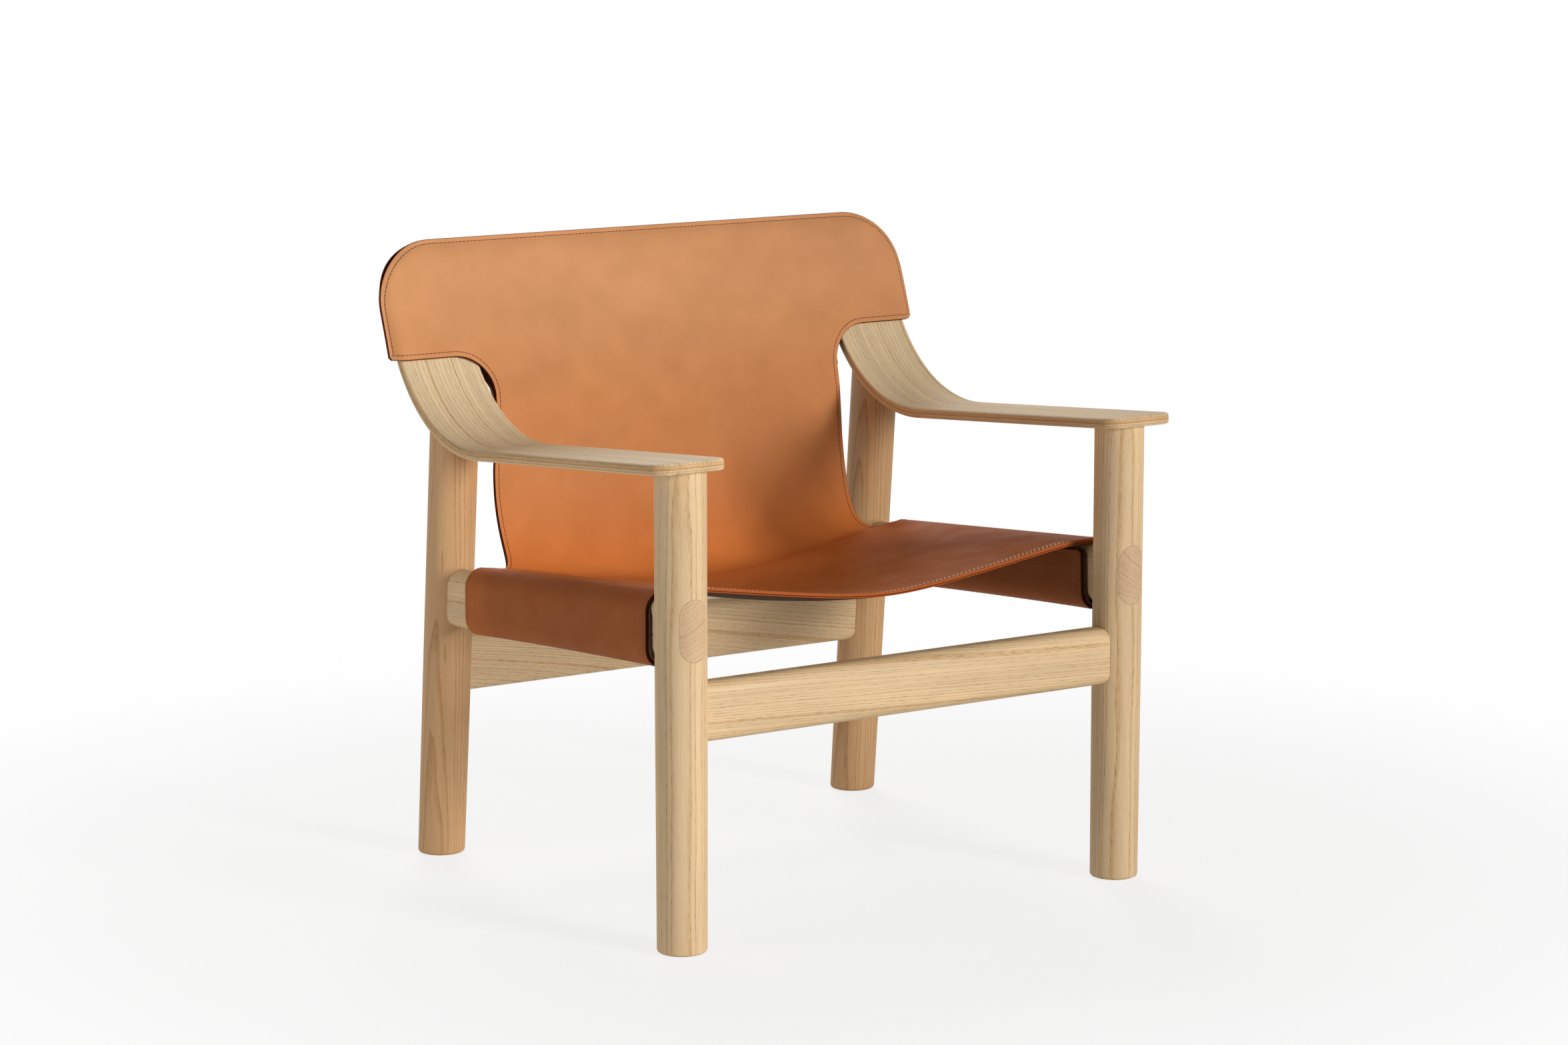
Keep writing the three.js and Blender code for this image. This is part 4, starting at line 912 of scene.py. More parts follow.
middle_slope, middle_edge = (float(size) for size in seat_row(0.5)[3:5])
SLEEVE_ROUND = (SLEEVE_RADIUS * (math.pi / 2 + middle_slope + math.pi) + 2 * RAIL_STRAIGHT
                + RAIL_STRAIGHT + FLAP_RISE)
FLAP_END = middle_edge + SLEEVE_ROUND
FLAP_CORNER = 4
FLAP_SLANT = 4.5
FACE_END = HALF_SPREAD + 72
flap_q = np.linspace(FLAP_SLANT + FLAP_CORNER, SEAT_LENGTH - FLAP_CORNER, 40)
flap_p = FLAP_END + 2 * SLEEVE_HANG * (1 - flap_q / SEAT_LENGTH) ** 2
FLAP_FRONT = flap_p[0] - FLAP_CORNER
POCKET_FOOT_X = POCKET_HALF - POCKET_FOOT_CORNER
notch_share = np.linspace(0.04, 1, 40)
HALF_PATTERN = {
    "front": [(0, 0), (FACE_END, 0), (FLAP_FRONT, FLAP_SLANT)],
    "front_corner": arc((FLAP_FRONT, FLAP_SLANT + FLAP_CORNER), FLAP_CORNER, -90, 0, 6),
    "flap": np.stack([flap_p, flap_q], 1),
    "rear_corner": arc((FLAP_END - FLAP_CORNER, SEAT_LENGTH - FLAP_CORNER), FLAP_CORNER, 0, 90, 6),
    "sleeve_end": [(FLAP_END - FLAP_CORNER, SEAT_LENGTH), (REAR_EDGE_X + 4, SEAT_LENGTH)],
    "notch": np.stack([bezier(TURN_EDGE, notch_share)[:, 0], SEAT_LENGTH + TURN_LENGTH * notch_share], 1),
    "waist": [(LOWER_HALF, TURN_END), (WAIST_HALF, WAIST_Q)],
    "mouth": arc((WAIST_HALF + MOUTH_ROUND, WAIST_Q), MOUTH_ROUND, 180, 90),
    "mouth_flat": [(WAIST_HALF + MOUTH_ROUND, MOUTH_Q), (POCKET_FOOT_X, MOUTH_Q)],
    "foot_corner": arc((POCKET_FOOT_X, MOUTH_Q + POCKET_FOOT_CORNER), POCKET_FOOT_CORNER, -90, 0, 4),
    "pocket_side": [(POCKET_HALF, MOUTH_Q + POCKET_FOOT_CORNER), (POCKET_HALF, TOP_Q - POCKET_CORNER)],
    "top_corner": arc((POCKET_HALF - POCKET_CORNER, TOP_Q - POCKET_CORNER), POCKET_CORNER, 0, 90, 20),
    "top": [(POCKET_HALF - POCKET_CORNER, TOP_Q), (0, TOP_Q)],
}


def closed_outline(parts, spacing):
    """The right half of a pattern and its mirror image, counter-clockwise"""
    line = one_line(parts, spacing, spacing * 0.3)
    return np.concatenate([line, line[1:-1][::-1] * (-1, 1)])


def facing_in(ways):
    """The ways to the left of a line that runs counter-clockwise"""
    return unit(np.stack([-ways[:, 1], ways[:, 0]], 1))


def to_outline(spots, outline):
    """Each spot's distance from a closed outline"""
    a, b = outline, np.roll(outline, -1, 0)
    best = np.full(len(spots), 1e9)
    for start, end in zip(a, b):
        way = end - start
        share = np.clip(((spots - start) @ way) / max(way @ way, 1e-9), 0, 1)
        best = np.minimum(best, np.hypot(*(spots - start - share[:, None] * way).T))
    return best


def inside(spots, outline):
    a, b = outline, np.roll(outline, -1, 0)
    odd = np.zeros(len(spots), bool)
    for (x0, y0), (x1, y1) in zip(a, b):
        if y0 == y1:
            continue
        crosses = (y0 > spots[:, 1]) != (y1 > spots[:, 1])
        odd ^= crosses & (spots[:, 0] < x0 + (spots[:, 1] - y0) / (y1 - y0) * (x1 - x0))
    return odd


ROW_STEP = 0.87
EDGE_BULGE = 0.3
EDGE_TURNS = np.radians([30, 60, 90, 120, 150])


def cut_sheet(outline, surface, thickness, shift, spacing, rings, press=None):
    """A sheet cut to an outline and laid on a surface, closed all round with a soft cut edge"""
    inward = facing_in(np.roll(outline, -1, 0) - np.roll(outline, 1, 0))
    low, high = outline.min(0), outline.max(0)
    ring_spots, grid = [], []
    for distance in rings:
        ring = outline + inward * distance
        ring_spots.append(ring[to_outline(ring, outline) > distance * 0.93])
    across = np.arange(low[0] + spacing / 2, high[0], spacing)
    for row, q in enumerate(np.arange(low[1] + spacing / 2, high[1], spacing * ROW_STEP)):
        grid.append(np.stack([across + (row % 2) * spacing / 2, 0 * across + q], 1))
    grid = np.concatenate(grid)
    grid = grid[inside(grid, outline)]
    grid = grid[to_outline(grid, outline) > rings[-1] + spacing * 0.55]
    ring_spots = np.concatenate(ring_spots)
    ring_spots = ring_spots[inside(ring_spots, outline)]
    every = np.concatenate([outline, ring_spots, grid])
    rim = len(outline)
    links = [(i, (i + 1) % rim) for i in range(rim)]
    flat, _, triangles, sources, _, _ = delaunay_2d_cdt([Vector(s) for s in every], links, [], 1, 1e-4)
    flat = np.array([v[:] for v in flat])
    place = {source[0]: i for i, source in enumerate(sources) if source}
    loop = [place[i] for i in range(rim)]
    points, normals, along_p, along_q = surface(flat)
    distance = to_outline(flat, outline)
    relief = press(distance) if press else 0 * distance
    top = points + normals * (shift + thickness / 2 + relief)[:, None]
    bottom = points + normals * (shift - thickness / 2)
    out = -inward
    stretch = along_p[loop] * out[:, :1] + along_q[loop] * out[:, 1:]
    stretch -= (stretch * normals[loop]).sum(1)[:, None] * normals[loop]
    stretch = unit(stretch) * thickness * EDGE_BULGE
    count = len(flat)
    layers = [top, bottom]
    for turn in EDGE_TURNS:
        level = shift + thickness / 2 * math.cos(turn)
        layers.append(points[loop] + normals[loop] * level + stretch * math.sin(turn))
    faces = [tuple(t) for t in triangles]
    faces += [tuple(count + i for i in t[::-1]) for t in triangles]
    strips = [loop] + [[2 * count + k * rim + i for i in range(rim)] for k in range(len(EDGE_TURNS))]
    strips.append([count + i for i in loop])
    for upper, lower in zip(strips, strips[1:]):
        for i in range(rim):
            j = (i + 1) % rim
            faces.append((upper[i], lower[i], lower[j], upper[j]))
    hide = np.concatenate([flat, flat, *[outline] * len(EDGE_TURNS)])
    hide = np.concatenate([hide, np.zeros((len(hide), 1))], 1)
    raw = np.concatenate([np.zeros(2 * count), np.ones(rim * len(EDGE_TURNS))])
    area = abs(np.cross(outline, np.roll(outline, -1, 0)).sum()) / 2
    return np.concatenate(layers), faces, {"hide": hide, "raw_edge": raw}, area


# Vegetable-tanned saddle leather: full grain, dyed through in a warm tan, waxed and lightly polished.
# The eye sees a soft cloudy mottle, a very fine grain, a dull waxed sheen and an orange cut edge.
# The grain is 0.4 mm on the real hide, and is drawn at about three times that so that it shows.
# The top of the back is painted paler, a painted highlight; the seat and the sleeves are painted darker, a
# painted shade.
# Where the hide turns up from the seat it is painted brighter and redder, as painted bounce light between
# seat and back.
# Its cut edges are painted near-black as shade, all but the front edge of the seat, which keeps the orange
# cut edge.
LEATHER_MID = colour("#CE8751")
LEATHER_HIGHLIT_TOP = colour("#DF9C68")
LEATHER_SHADED_SEAT = colour("#AF5F20")
LEATHER_BOUNCE_LIT = colour("#CE7636")
LEATHER_SHADED_SLEEVE = colour("#9C5628")
LEATHER_EDGE = colour("#B05A2B")
LEATHER_SHADED_EDGE = colour("#52210F")
CLOUD = 170
BLOTCH = 40
HIDE_GRAIN = 1.3
saddle_leather, tree, shader = new_finish("waxed_saddle_leather")
hide = add(tree, "ShaderNodeAttribute", attribute_name="hide", out="Vector")
clouds = add(tree, "ShaderNodeTexNoise", {"Vector": hide, "Scale": 1 / CLOUD, "Detail": 3})
blotches = add(tree, "ShaderNodeTexNoise", {"Vector": hide, "Scale": 1 / BLOTCH, "Detail": 4})
# Painted light: a highlight paler at the top of the back, and shade darker on the seat and on the sleeves.
painted_light_shares = add(tree, "ShaderNodeAttribute", attribute_name="painted_light_shares", out="Vector")
light_parts = add(tree, "ShaderNodeSeparateXYZ", {0: painted_light_shares}).node.outputs
top_highlit = add(tree, "ShaderNodeMix", {0: light_parts[0], 6: LEATHER_MID, 7: LEATHER_HIGHLIT_TOP}, data_type="RGBA", out=2)
seat_shaded = add(tree, "ShaderNodeMix", {0: light_parts[1], 6: top_highlit, 7: LEATHER_SHADED_SEAT}, data_type="RGBA", out=2)
# Painted bounce light: brighter and redder where the hide turns up from the seat.
bent = add(tree, "ShaderNodeAttribute", attribute_name="bent", out="Fac")
turned = add(tree, "ShaderNodeMix", {0: bent, 6: seat_shaded, 7: LEATHER_BOUNCE_LIT}, data_type="RGBA", out=2)
sleeve_shaded = add(tree, "ShaderNodeMix", {0: light_parts[2], 6: turned, 7: LEATHER_SHADED_SLEEVE}, data_type="RGBA", out=2)
cloudy = add(tree, "ShaderNodeMapRange", {0: clouds, 1: 0.3, 2: 0.7, 3: 0.93, 4: 1.07})
blotchy = add(tree, "ShaderNodeMapRange", {0: blotches, 1: 0.35, 2: 0.75, 3: 1.02, 4: 0.95})
mottle = add(tree, "ShaderNodeMath", {0: cloudy, 1: blotchy}, operation="MULTIPLY")
mottled = add(tree, "ShaderNodeVectorMath", {0: sleeve_shaded, 3: mottle}, operation="SCALE")
raw = add(tree, "ShaderNodeAttribute", attribute_name="raw_edge", out="Fac")
edged = add(tree, "ShaderNodeMix", {0: raw, 6: mottled, 7: LEATHER_EDGE}, data_type="RGBA", out=2)
# Painted shade: the cut edges are darkened near-black, all but the seat's front edge.
edge_shaded = add(tree, "ShaderNodeAttribute", attribute_name="painted_edge_shade", out="Fac")
finished = add(tree, "ShaderNodeMix", {0: edge_shaded, 6: edged, 7: LEATHER_SHADED_EDGE}, data_type="RGBA", out=2)
cells = add(tree, "ShaderNodeTexVoronoi", {"Vector": hide, "Scale": 1 / HIDE_GRAIN}, out="Distance")
waxed = add(tree, "ShaderNodeMapRange", {0: blotches, 1: 0.3, 2: 0.7, 3: 0.68, 4: 0.8})
rough = add(tree, "ShaderNodeMath", {0: raw, 1: 0.2, 2: waxed}, operation="MULTIPLY_ADD")
pebble = add(tree, "ShaderNodeBump", {"Height": cells, "Strength": 0.12, "Distance": 0.0003})
feed(shader, {"Base Color": finished, "Roughness": rough, "Normal": pebble, "IOR": 1.5,
              "Specular IOR Level": 0.2})

SEAM_INSET = 5
GROOVE_DEPTH = 0.25
GROOVE_WIDTH = 1.6
sling_outline = closed_outline(list(HALF_PATTERN.values()), spacing=5)


def stitch_groove(distance):
    """The thread draws the leather down along the seam"""
    return -GROOVE_DEPTH * np.exp(-((distance - SEAM_INSET) / GROOVE_WIDTH) ** 2)


# Where the painted shade of the seat and the sleeves, the painted highlight of the back's top and the
# painted bounce light of the turn fade in and out.
BACK_FADE = (SEAT_LENGTH - 110, TURN_END - 50)
SLEEVE_FADE = (HALF_SPREAD - 30, HALF_SPREAD + 25)
HIGHLIGHT_FROM_ENDS = 60
BOUNCE_FADE_IN = (SEAT_LENGTH - 150, SEAT_LENGTH)
BOUNCE_FADE_OUT = (TURN_END - 90, TURN_END + 25)
points, faces, values, sling_area = cut_sheet(
    sling_outline, sling_surface, LEATHER, shift=0, spacing=7.5, rings=[1.5, 3.4, 5, 6.6, 9, 12.5],
    press=stitch_groove)
spot_p, spot_q = np.abs(values["hide"][:, 0]), values["hide"][:, 1]
seat_edge = (spot_p < HALF_SPREAD) & (spot_q < SEAT_LENGTH)
# Painted shade on every cut edge of the hide but the front edge of the seat.
values["painted_edge_shade"] = np.where(seat_edge, 0, values["raw_edge"])
on_back = smooth(*BACK_FADE, spot_q)
on_sleeve = smooth(*SLEEVE_FADE, spot_p) * (1 - on_back)
# Shares of painted light: the highlight at the top of the back, the shade of the seat and the shade of the
# sleeves.
top_highlight = smooth(TURN_END + HIGHLIGHT_FROM_ENDS, spot_q.max() - HIGHLIGHT_FROM_ENDS, spot_q)
values["painted_light_shares"] = np.stack([top_highlight, 1 - on_back, on_sleeve], 1)
# The share of painted bounce light, strongest in the turn between seat and back.
values["bent"] = smooth(*BOUNCE_FADE_IN, spot_q) * (1 - smooth(*BOUNCE_FADE_OUT, spot_q))
sling = piece("leather_sling", points, faces, saddle_leather, "leather", ["sling_leather"], **values)

# Lining: a thin dark split hide bonded under the seat, inside the sleeves and behind the lower back.
# It stops the thick hide from stretching; its napped side shows under the seat and at the sleeve ends.
# Split suede: the rough inner layer of a hide, dyed dark brown and brushed, with no gloss at all.
# The eye sees a short nap that lies paler or darker; it is under 1 mm, and is drawn at 3 mm to show.
LINING_DARK = colour("#3B2A20")
LINING_PALE = colour("#624632")
LINING_EDGE = colour("#A65226")
NAP = 3
split_suede, tree, shader = new_finish("split_suede")
hide = add(tree, "ShaderNodeAttribute", attribute_name="hide", out="Vector")
nap = add(tree, "ShaderNodeTexNoise", {"Vector": hide, "Scale": 1 / NAP, "Detail": 4})
brushed = add(tree, "ShaderNodeTexNoise", {"Vector": hide, "Scale": 1 / CLOUD, "Detail": 2})
stroke = add(tree, "ShaderNodeMath", {0: nap, 1: brushed}, operation="MULTIPLY")
share = add(tree, "ShaderNodeMapRange", {0: stroke, 1: 0.15, 2: 0.4})
napped = add(tree, "ShaderNodeMix", {0: share, 6: LINING_DARK, 7: LINING_PALE}, data_type="RGBA", out=2)
raw = add(tree, "ShaderNodeAttribute", attribute_name="raw_edge", out="Fac")
edged = add(tree, "ShaderNodeMix", {0: raw, 6: napped, 7: LINING_EDGE}, data_type="RGBA", out=2)
fuzz = add(tree, "ShaderNodeBump", {"Height": nap, "Strength": 0.3, "Distance": 0.0004})
feed(shader, {"Base Color": edged, "Normal": fuzz, "Roughness": 0.9, "Specular IOR Level": 0.05})

LINING_SHIFT = -(LEATHER / 2 + LAYER_GAP + LINING / 2)
# The lining runs on past the front ends of the sleeves, a dark band that stands in for the shade on the rail
# there.
SHADE_LINING_PAST_SLEEVE = 6
JOIN_BELOW_WAIST = 32
join_z = WAIST_Z - JOIN_BELOW_WAIST
join_half = mix(WAIST_HALF, LOWER_HALF, JOIN_BELOW_WAIST / (WAIST_Z - BACK_START_Z))
lining_top = TURN_END + join_z - BACK_START_Z
SLEEVE_STEP = (HALF_SPREAD + 20, HALF_SPREAD + 38)
BARE_EDGE_HALF = HALF_SPREAD - 6
BARE_EDGE_DEPTH = 20
lining_parts = [[(0, 0), (SLEEVE_STEP[0], 0), (SLEEVE_STEP[1], -SHADE_LINING_PAST_SLEEVE),
                 (FACE_END, -SHADE_LINING_PAST_SLEEVE), (FLAP_FRONT, FLAP_SLANT - SHADE_LINING_PAST_SLEEVE),
                 (FLAP_FRONT + FLAP_CORNER, FLAP_SLANT)]]
lining_parts += [HALF_PATTERN[name] for name in ("flap", "rear_corner", "sleeve_end", "notch")]
lining_parts.append([(LOWER_HALF, TURN_END), (join_half, lining_top), (0, lining_top)])
lining_outline = closed_outline(lining_parts, spacing=8)
points, faces, values, lining_area = cut_sheet(
    lining_outline, sling_surface, LINING, LINING_SHIFT, spacing=12, rings=[3, 8])
spot_p, spot_q = np.abs(values["hide"][:, 0]), values["hide"][:, 1]
seat_front = (spot_p < BARE_EDGE_HALF) & (spot_q < BARE_EDGE_DEPTH)
values["raw_edge"] = np.where(seat_front, values["raw_edge"], 0)
lining = piece("suede_lining", points, faces, split_suede, "lining", ["sling_lining"], **values)

# Rear panel: a second dark sheet behind the upper back, sewn to the hide round its edge and at the waist.
# Between the two the ears slide in from below, so the panel bulges over the ears and closes at the seam.
EAR_INNER = HALF_SPREAD + EAR_OUTBOARD - EAR_WIDTH / 2
BULGE_RISE = (EAR_INNER - 32, EAR_INNER - 4)
BULGE_CLOSE = (0.5, 11)


def panel_point(x, z):
    front = back_depth(x, z) + (LEATHER / 2 + LAYER_GAP + LINING / 2) / math.cos(EAR_LEAN)
    behind = ear_depth(z, ARM_THICKNESS + SLEEVE_FIT + LINING / 2)
    bulge = smooth(*BULGE_RISE, np.abs(x)) * (1 - smooth(*BULGE_CLOSE, beyond_ear(x, z)))
    return np.stack([x, mix(front, np.maximum(front, behind), bulge), z], 1)


def panel_surface(spots):
    return laid(panel_point, spots)


PANEL_PAST_EDGE = 4
PANEL_PAST_FOOT = 1
panel_foot = join_z + LAYER_GAP
panel_mouth = MOUTH_Z - PANEL_PAST_EDGE
to_height = np.array([0, BACK_START_Z - TURN_END])
foot_z = MOUTH_Z - PANEL_PAST_FOOT
panel_parts = [
    [(0, panel_foot), (join_half, panel_foot),
     (WAIST_HALF + PANEL_PAST_EDGE / 2, WAIST_Z - PANEL_PAST_EDGE)],
    arc((WAIST_HALF + MOUTH_ROUND, WAIST_Z), MOUTH_ROUND - PANEL_PAST_EDGE, 179, 90),
    [(WAIST_HALF + MOUTH_ROUND, panel_mouth), (POCKET_FOOT_X, foot_z)],
    arc((POCKET_FOOT_X, foot_z + POCKET_FOOT_CORNER), POCKET_FOOT_CORNER, -90, 0, 4),
    np.asarray(HALF_PATTERN["pocket_side"]) + to_height + [(0, 3), (0, 0)],
    HALF_PATTERN["top_corner"] + to_height,
    np.asarray(HALF_PATTERN["top"]) + to_height,
]
panel_outline = closed_outline(panel_parts, spacing=7)
points, faces, values, panel_area = cut_sheet(
    panel_outline, panel_surface, LINING, shift=0, spacing=8, rings=[2.5, 6])
panel = piece("suede_back_panel", points, faces, split_suede, "lining", ["back_panel"], **values)

# Stitching: bonded thread 0.9 mm thick, lock-stitched through punched holes beside every edge.
# Each stitch is a short rounded strand that dips into a hole at both ends; the back has one row and the
# front of the seat has two, which run on round the sleeves.
BACK_STITCH = 5.4
SEAT_STITCH = 6.2
SEAT_ROWS = (5.5, 14.5)
THREAD_RADIUS = 0.45
HOLE_LONG = 1.0
HOLE_WIDE = 0.8
THREAD_SUNK = 0.12
SEAM_STRAY = 0.4
STRAND = np.array([
    (0.16, -0.45, 0.5), (0.3, 0.05, 0.95), (0.5, 0.2, 1.0), (0.7, 0.05, 0.95), (0.84, -0.45, 0.5),
])
HOLE = np.array([(0.5, -0.25), (1.0, 0.02), (0.5, 0.06)])
STITCH_SIDES = 6


def inset_line(stretches, outline, distance):
    """A line inside the edge of the right half, along some stretches of its pattern"""
    line = one_line(stretches, 2, 0.3)
    moved = line + facing_in(np.gradient(line, axis=0)) * distance
    return moved[to_outline(moved, outline) > distance - SEAM_STRAY]


def repeated(rings, faces):
    """One small form at many places: its points in order, and its faces once for each place"""
    count, size = len(rings), rings.shape[1] * rings.shape[2]
    return rings.reshape(-1, 3), [tuple(k * size + i for i in face) for k in range(count) for face in faces]


def sew(row, pitch, surface, lift):
    """The strands and the holes of one row, on a sheet's front or, with a lift below 0, behind it"""
    points, normals, _, _ = surface(one_line([row], 1.0, 0))
    lengths = run(points)
    at = stepped(lengths, pitch)
    ups = unit(along_line(at, lengths, normals * np.sign(lift)))
    spots = along_line(at, lengths, points) + ups * (abs(lift) - THREAD_SUNK)
    turn = np.arange(STITCH_SIDES) * 2 * math.pi / STITCH_SIDES
    cosines, sines = np.cos(turn)[None, None, :, None], np.sin(turn)[None, None, :, None]
    along = unit(np.gradient(spots, axis=0))
    across = np.cross(along, ups)
    share, height, girth = (STRAND[:, k][None, :, None, None] for k in range(3))
    a, b = spots[:-1, None, None], spots[1:, None, None]
    up, side = ups[:-1, None, None], across[:-1, None, None]
    strands = a + (b - a) * share + up * height + (side * cosines + up * sines) * THREAD_RADIUS * girth
    reach, level = (HOLE[:, k][None, :, None, None] for k in range(2))
    way, up, side = along[:, None, None], ups[:, None, None], across[:, None, None]
    rim = way * cosines * HOLE_LONG - side * sines * HOLE_WIDE
    holes = spots[:, None, None] + rim * reach + up * level
    strand_faces, hole_faces = skin(len(STRAND), STITCH_SIDES), skin(len(HOLE), STITCH_SIDES)
    return repeated(strands, strand_faces), repeated(holes, hole_faces)


# Bonded polyester thread: a tight smooth twist with a dull wax. It is tan on the back and the sleeves, cream
# on the front of the seat, buff on the flaps below and grey at the pocket tacks.
# Each punched hole is drawn as a small near-black disc on the hide, painted shade for the pit.
TWIST = 1.2


def thread_finish(name, code):
    finish, tree, shader = new_finish(name)
    place = add(tree, "ShaderNodeTexCoord", out="Object")
    twist = add(tree, "ShaderNodeTexNoise", {"Vector": place, "Scale": 1000 / TWIST, "Detail": 2})
    shade = add(tree, "ShaderNodeMapRange", {0: twist, 1: 0.3, 2: 0.7, 3: 0.8, 4: 1.1})
    dyed = add(tree, "ShaderNodeVectorMath", {0: colour(code)[:3], 3: shade}, operation="SCALE")
    feed(shader, {"Base Color": dyed, "Roughness": 0.6})
    return finish


tan_thread = thread_finish("tan_bonded_thread", "#AE622E")
cream_thread = thread_finish("cream_bonded_thread", "#D6C8A6")
buff_thread = thread_finish("buff_bonded_thread", "#AC8458")
grey_thread = thread_finish("grey_bonded_thread", "#8C8A78")
# The needle holes are dark discs: painted shade for the pits.
painted_hole_shade = thread_finish("painted_hole_shade", "#1C0B06")
back_edge = [HALF_PATTERN[name] for name in (
    "notch", "waist", "mouth", "mouth_flat", "foot_corner", "pocket_side", "top_corner", "top")]
FLAP_SEAM = 24
CREAM_REACH = HALF_SPREAD - 2
FOLD_TURN = 1.1
FOLD_SHORT = 8
fold_q = np.linspace(SEAT_ROWS[1], SEAT_LENGTH - FOLD_SHORT, 40)
fold_slope, fold_edge = seat_row(fold_q / SEAT_LENGTH)[3:5]
fold_p = fold_edge + SLEEVE_RADIUS * (math.pi / 2 + fold_slope) + 2 * RAIL_STRAIGHT
fold_p = fold_p + SLEEVE_HANG * (1 - fold_q / SEAT_LENGTH) ** 2 + SLEEVE_RADIUS * FOLD_TURN
flap_start = fold_p[0] + SLEEVE_RADIUS
front_rows = [inset_line([HALF_PATTERN["front"]], sling_outline, distance) for distance in SEAT_ROWS]
cream_rows = [row[row[:, 0] < CREAM_REACH] for row in front_rows]
sleeve_rows = [row[(row[:, 0] > CREAM_REACH) & (row[:, 0] < flap_start)] for row in front_rows]
sleeve_rows.append(inset_line([HALF_PATTERN["sleeve_end"]], sling_outline, SEAM_INSET))
sleeve_rows.append(np.stack([fold_p, fold_q], 1))
flap_rows = [row[row[:, 0] > flap_start] for row in front_rows]
flap_rows.append(np.stack([flap_p - FLAP_SEAM, flap_q], 1))
panel_rows = [inset_line(panel_parts[1:], panel_outline, SEAM_INSET),
              [(0, panel_foot + SEAM_INSET), (join_half - SEAM_INSET, panel_foot + SEAM_INSET)]]
TACK_REACH = 3
TACK_ROWS = (-0.9, 0, 0.9)
tack_p, tack_q = POCKET_HALF - SEAM_INSET, MOUTH_Q + SEAM_INSET
tack_rows = [[(tack_p + k, tack_q - TACK_REACH), (tack_p + k, tack_q + TACK_REACH)] for k in TACK_ROWS]
hide_side, panel_side = (sling_surface, LEATHER / 2), (panel_surface, -LINING / 2)
seams = {
    "back": ([inset_line(back_edge, sling_outline, SEAM_INSET)], BACK_STITCH, tan_thread, hide_side),
    "seat_front": (cream_rows, SEAT_STITCH, cream_thread, hide_side),
    "sleeves": (sleeve_rows, SEAT_STITCH, tan_thread, hide_side),
    "flaps": (flap_rows, SEAT_STITCH, buff_thread, hide_side),
    "back_panel": (panel_rows, BACK_STITCH, tan_thread, panel_side),
    "pocket_tacks": (tack_rows, 2 * TACK_REACH, grey_thread, hide_side),
}
for name, (rows, pitch, thread, (surface, lift)) in seams.items():
    rows = [np.asarray(row, float) for row in rows]
    sewn = [sew(row * (side, 1), pitch, surface, lift) for row in rows for side in (1, -1)]
    piece("stitches_" + name, *joined([strands for strands, _ in sewn]), thread, "leather")
    if thread is not grey_thread:
        piece("needle_holes_" + name, *joined([holes for _, holes in sewn]), painted_hole_shade, "leather")

# Floor, light and camera: a pale painted studio floor that shows white, a narrow soft key lamp from the
# front right, a low fill from the left and a wide lamp high behind the chair.
FLOOR_SIZE = 40
floor_mesh = bpy.data.meshes.new("studio_floor")
corner = FLOOR_SIZE / 2
floor_corners = [(-corner, -corner, 0), (corner, -corner, 0), (corner, corner, 0), (-corner, corner, 0)]
floor_mesh.from_pydata(floor_corners, [], [(0, 1, 2, 3)])
floor = bpy.data.objects.new("studio_floor", floor_mesh)
bpy.context.scene.collection.objects.link(floor)

# Painted studio floor: matt white paint, lifted to plain white where the camera, gloss or glass sees it.
# Round the chair it is lifted a little less, so that the chair's shadow stays on it.
FLOOR_WHITE = colour("#F2F2F0")
SHADOW_REACH = (0.5, 1.6)
SHADOW_LIFT = 0.8


def seen_white(tree):
    """1 for what the camera, gloss and glass see, and 0 for the light itself"""
    path = add(tree, "ShaderNodeLightPath").node.outputs
    seen = add(tree, "ShaderNodeMath", {0: path["Is Camera Ray"], 1: path["Is Glossy Ray"]},
               operation="MAXIMUM")
    return add(tree, "ShaderNodeMath", {0: seen, 1: path["Is Transmission Ray"]}, operation="MAXIMUM")


white_paint, tree, shader = new_finish("matt_white_floor_paint")
feed(shader, {"Base Color": FLOOR_WHITE, "Roughness": 0.9, "Specular IOR Level": 0.1})
place = add(tree, "ShaderNodeTexCoord", out="Object")
away = add(tree, "ShaderNodeVectorMath", {0: place}, operation="LENGTH", out="Value")
near, far = SHADOW_REACH
share = add(tree, "ShaderNodeMapRange", {0: away, 1: near, 2: far, 3: SHADOW_LIFT, 4: 1.0},
            interpolation_type="SMOOTHSTEP")
lifted = add(tree, "ShaderNodeMath", {0: seen_white(tree), 1: share}, operation="MULTIPLY")
plain = add(tree, "ShaderNodeEmission", {"Color": (1, 1, 1, 1), "Strength": 1.0})
blend = add(tree, "ShaderNodeMixShader", {0: lifted, 1: shader.outputs[0], 2: plain})
feed(tree.nodes["Material Output"], {"Surface": blend})
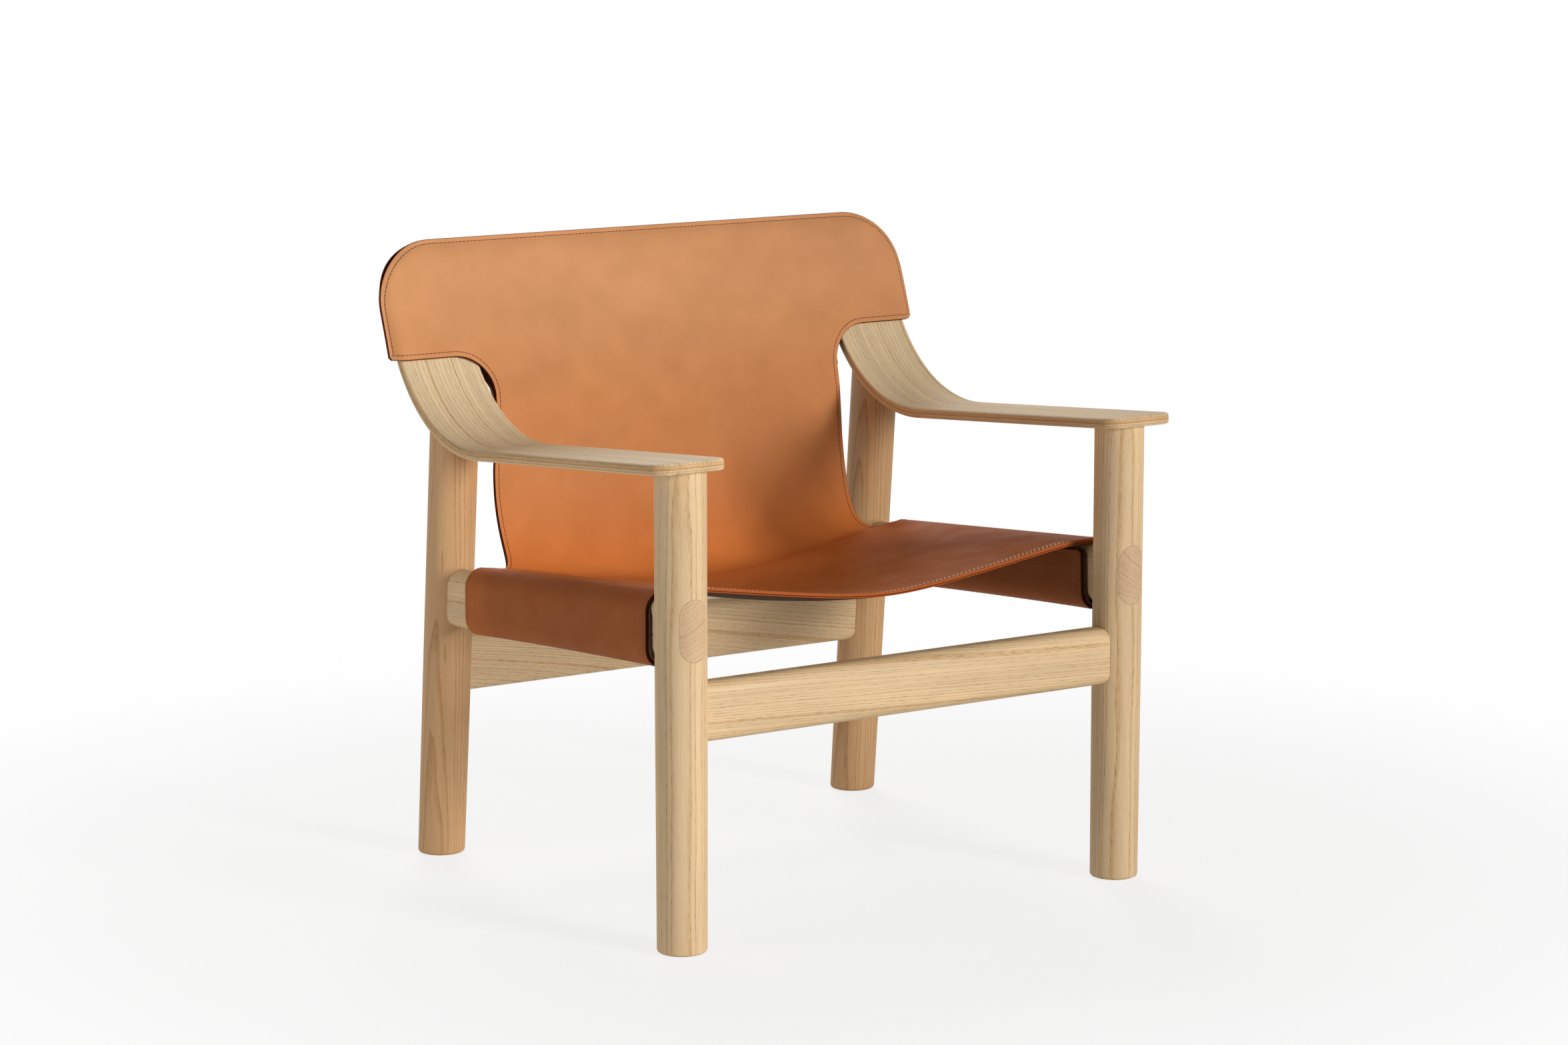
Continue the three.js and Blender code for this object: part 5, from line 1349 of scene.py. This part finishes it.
floor_mesh.materials.append(white_paint)

AMBIENT = 0.08
world = bpy.data.worlds.new("studio")
world.use_nodes = True
tree = world.node_tree
strength = add(tree, "ShaderNodeMapRange", {0: seen_white(tree), 3: AMBIENT, 4: 1.0})
feed(tree.nodes["Background"], {"Color": (1, 1, 1, 1), "Strength": strength})
bpy.context.scene.world = world

LAMPS = {
    "key": {"at": (1.7, -5.57, 1.9), "size": (1.5, 2), "power": 18.6, "aim": (-0.55, 0, 0.6), "spread": 38},
    "fill": {"at": (-2.98, 0.26, 0.7), "size": (1.6, 1.6), "power": 22, "aim": (0, 0, 0.4), "spread": 180},
    "back": {"at": (1.16, 3.19, 2.57), "size": (2, 2), "power": 82, "aim": (0, 0, 0.4), "spread": 180},
}
for name, lamp in LAMPS.items():
    light = bpy.data.lights.new(name, "AREA")
    light.shape = "RECTANGLE"
    light.size, light.size_y = lamp["size"]
    light.energy = lamp["power"]
    light.spread = math.radians(lamp["spread"])
    holder = bpy.data.objects.new(name, light)
    holder.location = lamp["at"]
    holder.rotation_euler = (Vector(lamp["aim"]) - holder.location).to_track_quat("-Z", "Y").to_euler()
    bpy.context.scene.collection.objects.link(holder)

CAMERA_AT = (-2840.1, -3995.3, 1315.5)
CAMERA_PAN = math.radians(33.722)
CAMERA_TILT = math.radians(9.778)
CAMERA_LENS = 97.45
level = math.cos(CAMERA_TILT)
forward = Vector((math.sin(CAMERA_PAN) * level, math.cos(CAMERA_PAN) * level, -math.sin(CAMERA_TILT)))
rightward = Vector((math.cos(CAMERA_PAN), -math.sin(CAMERA_PAN), 0))
lens = bpy.data.cameras.new("camera")
lens.lens = CAMERA_LENS
lens.sensor_width = 36
camera = bpy.data.objects.new("camera", lens)
turned = Matrix((rightward, rightward.cross(forward), -forward)).transposed()
camera.matrix_world = Matrix.Translation(Vector(metres(CAMERA_AT))) @ turned.to_4x4()
bpy.context.scene.collection.objects.link(camera)
bpy.context.scene.camera = camera
bpy.context.scene.view_settings.view_transform = "Standard"
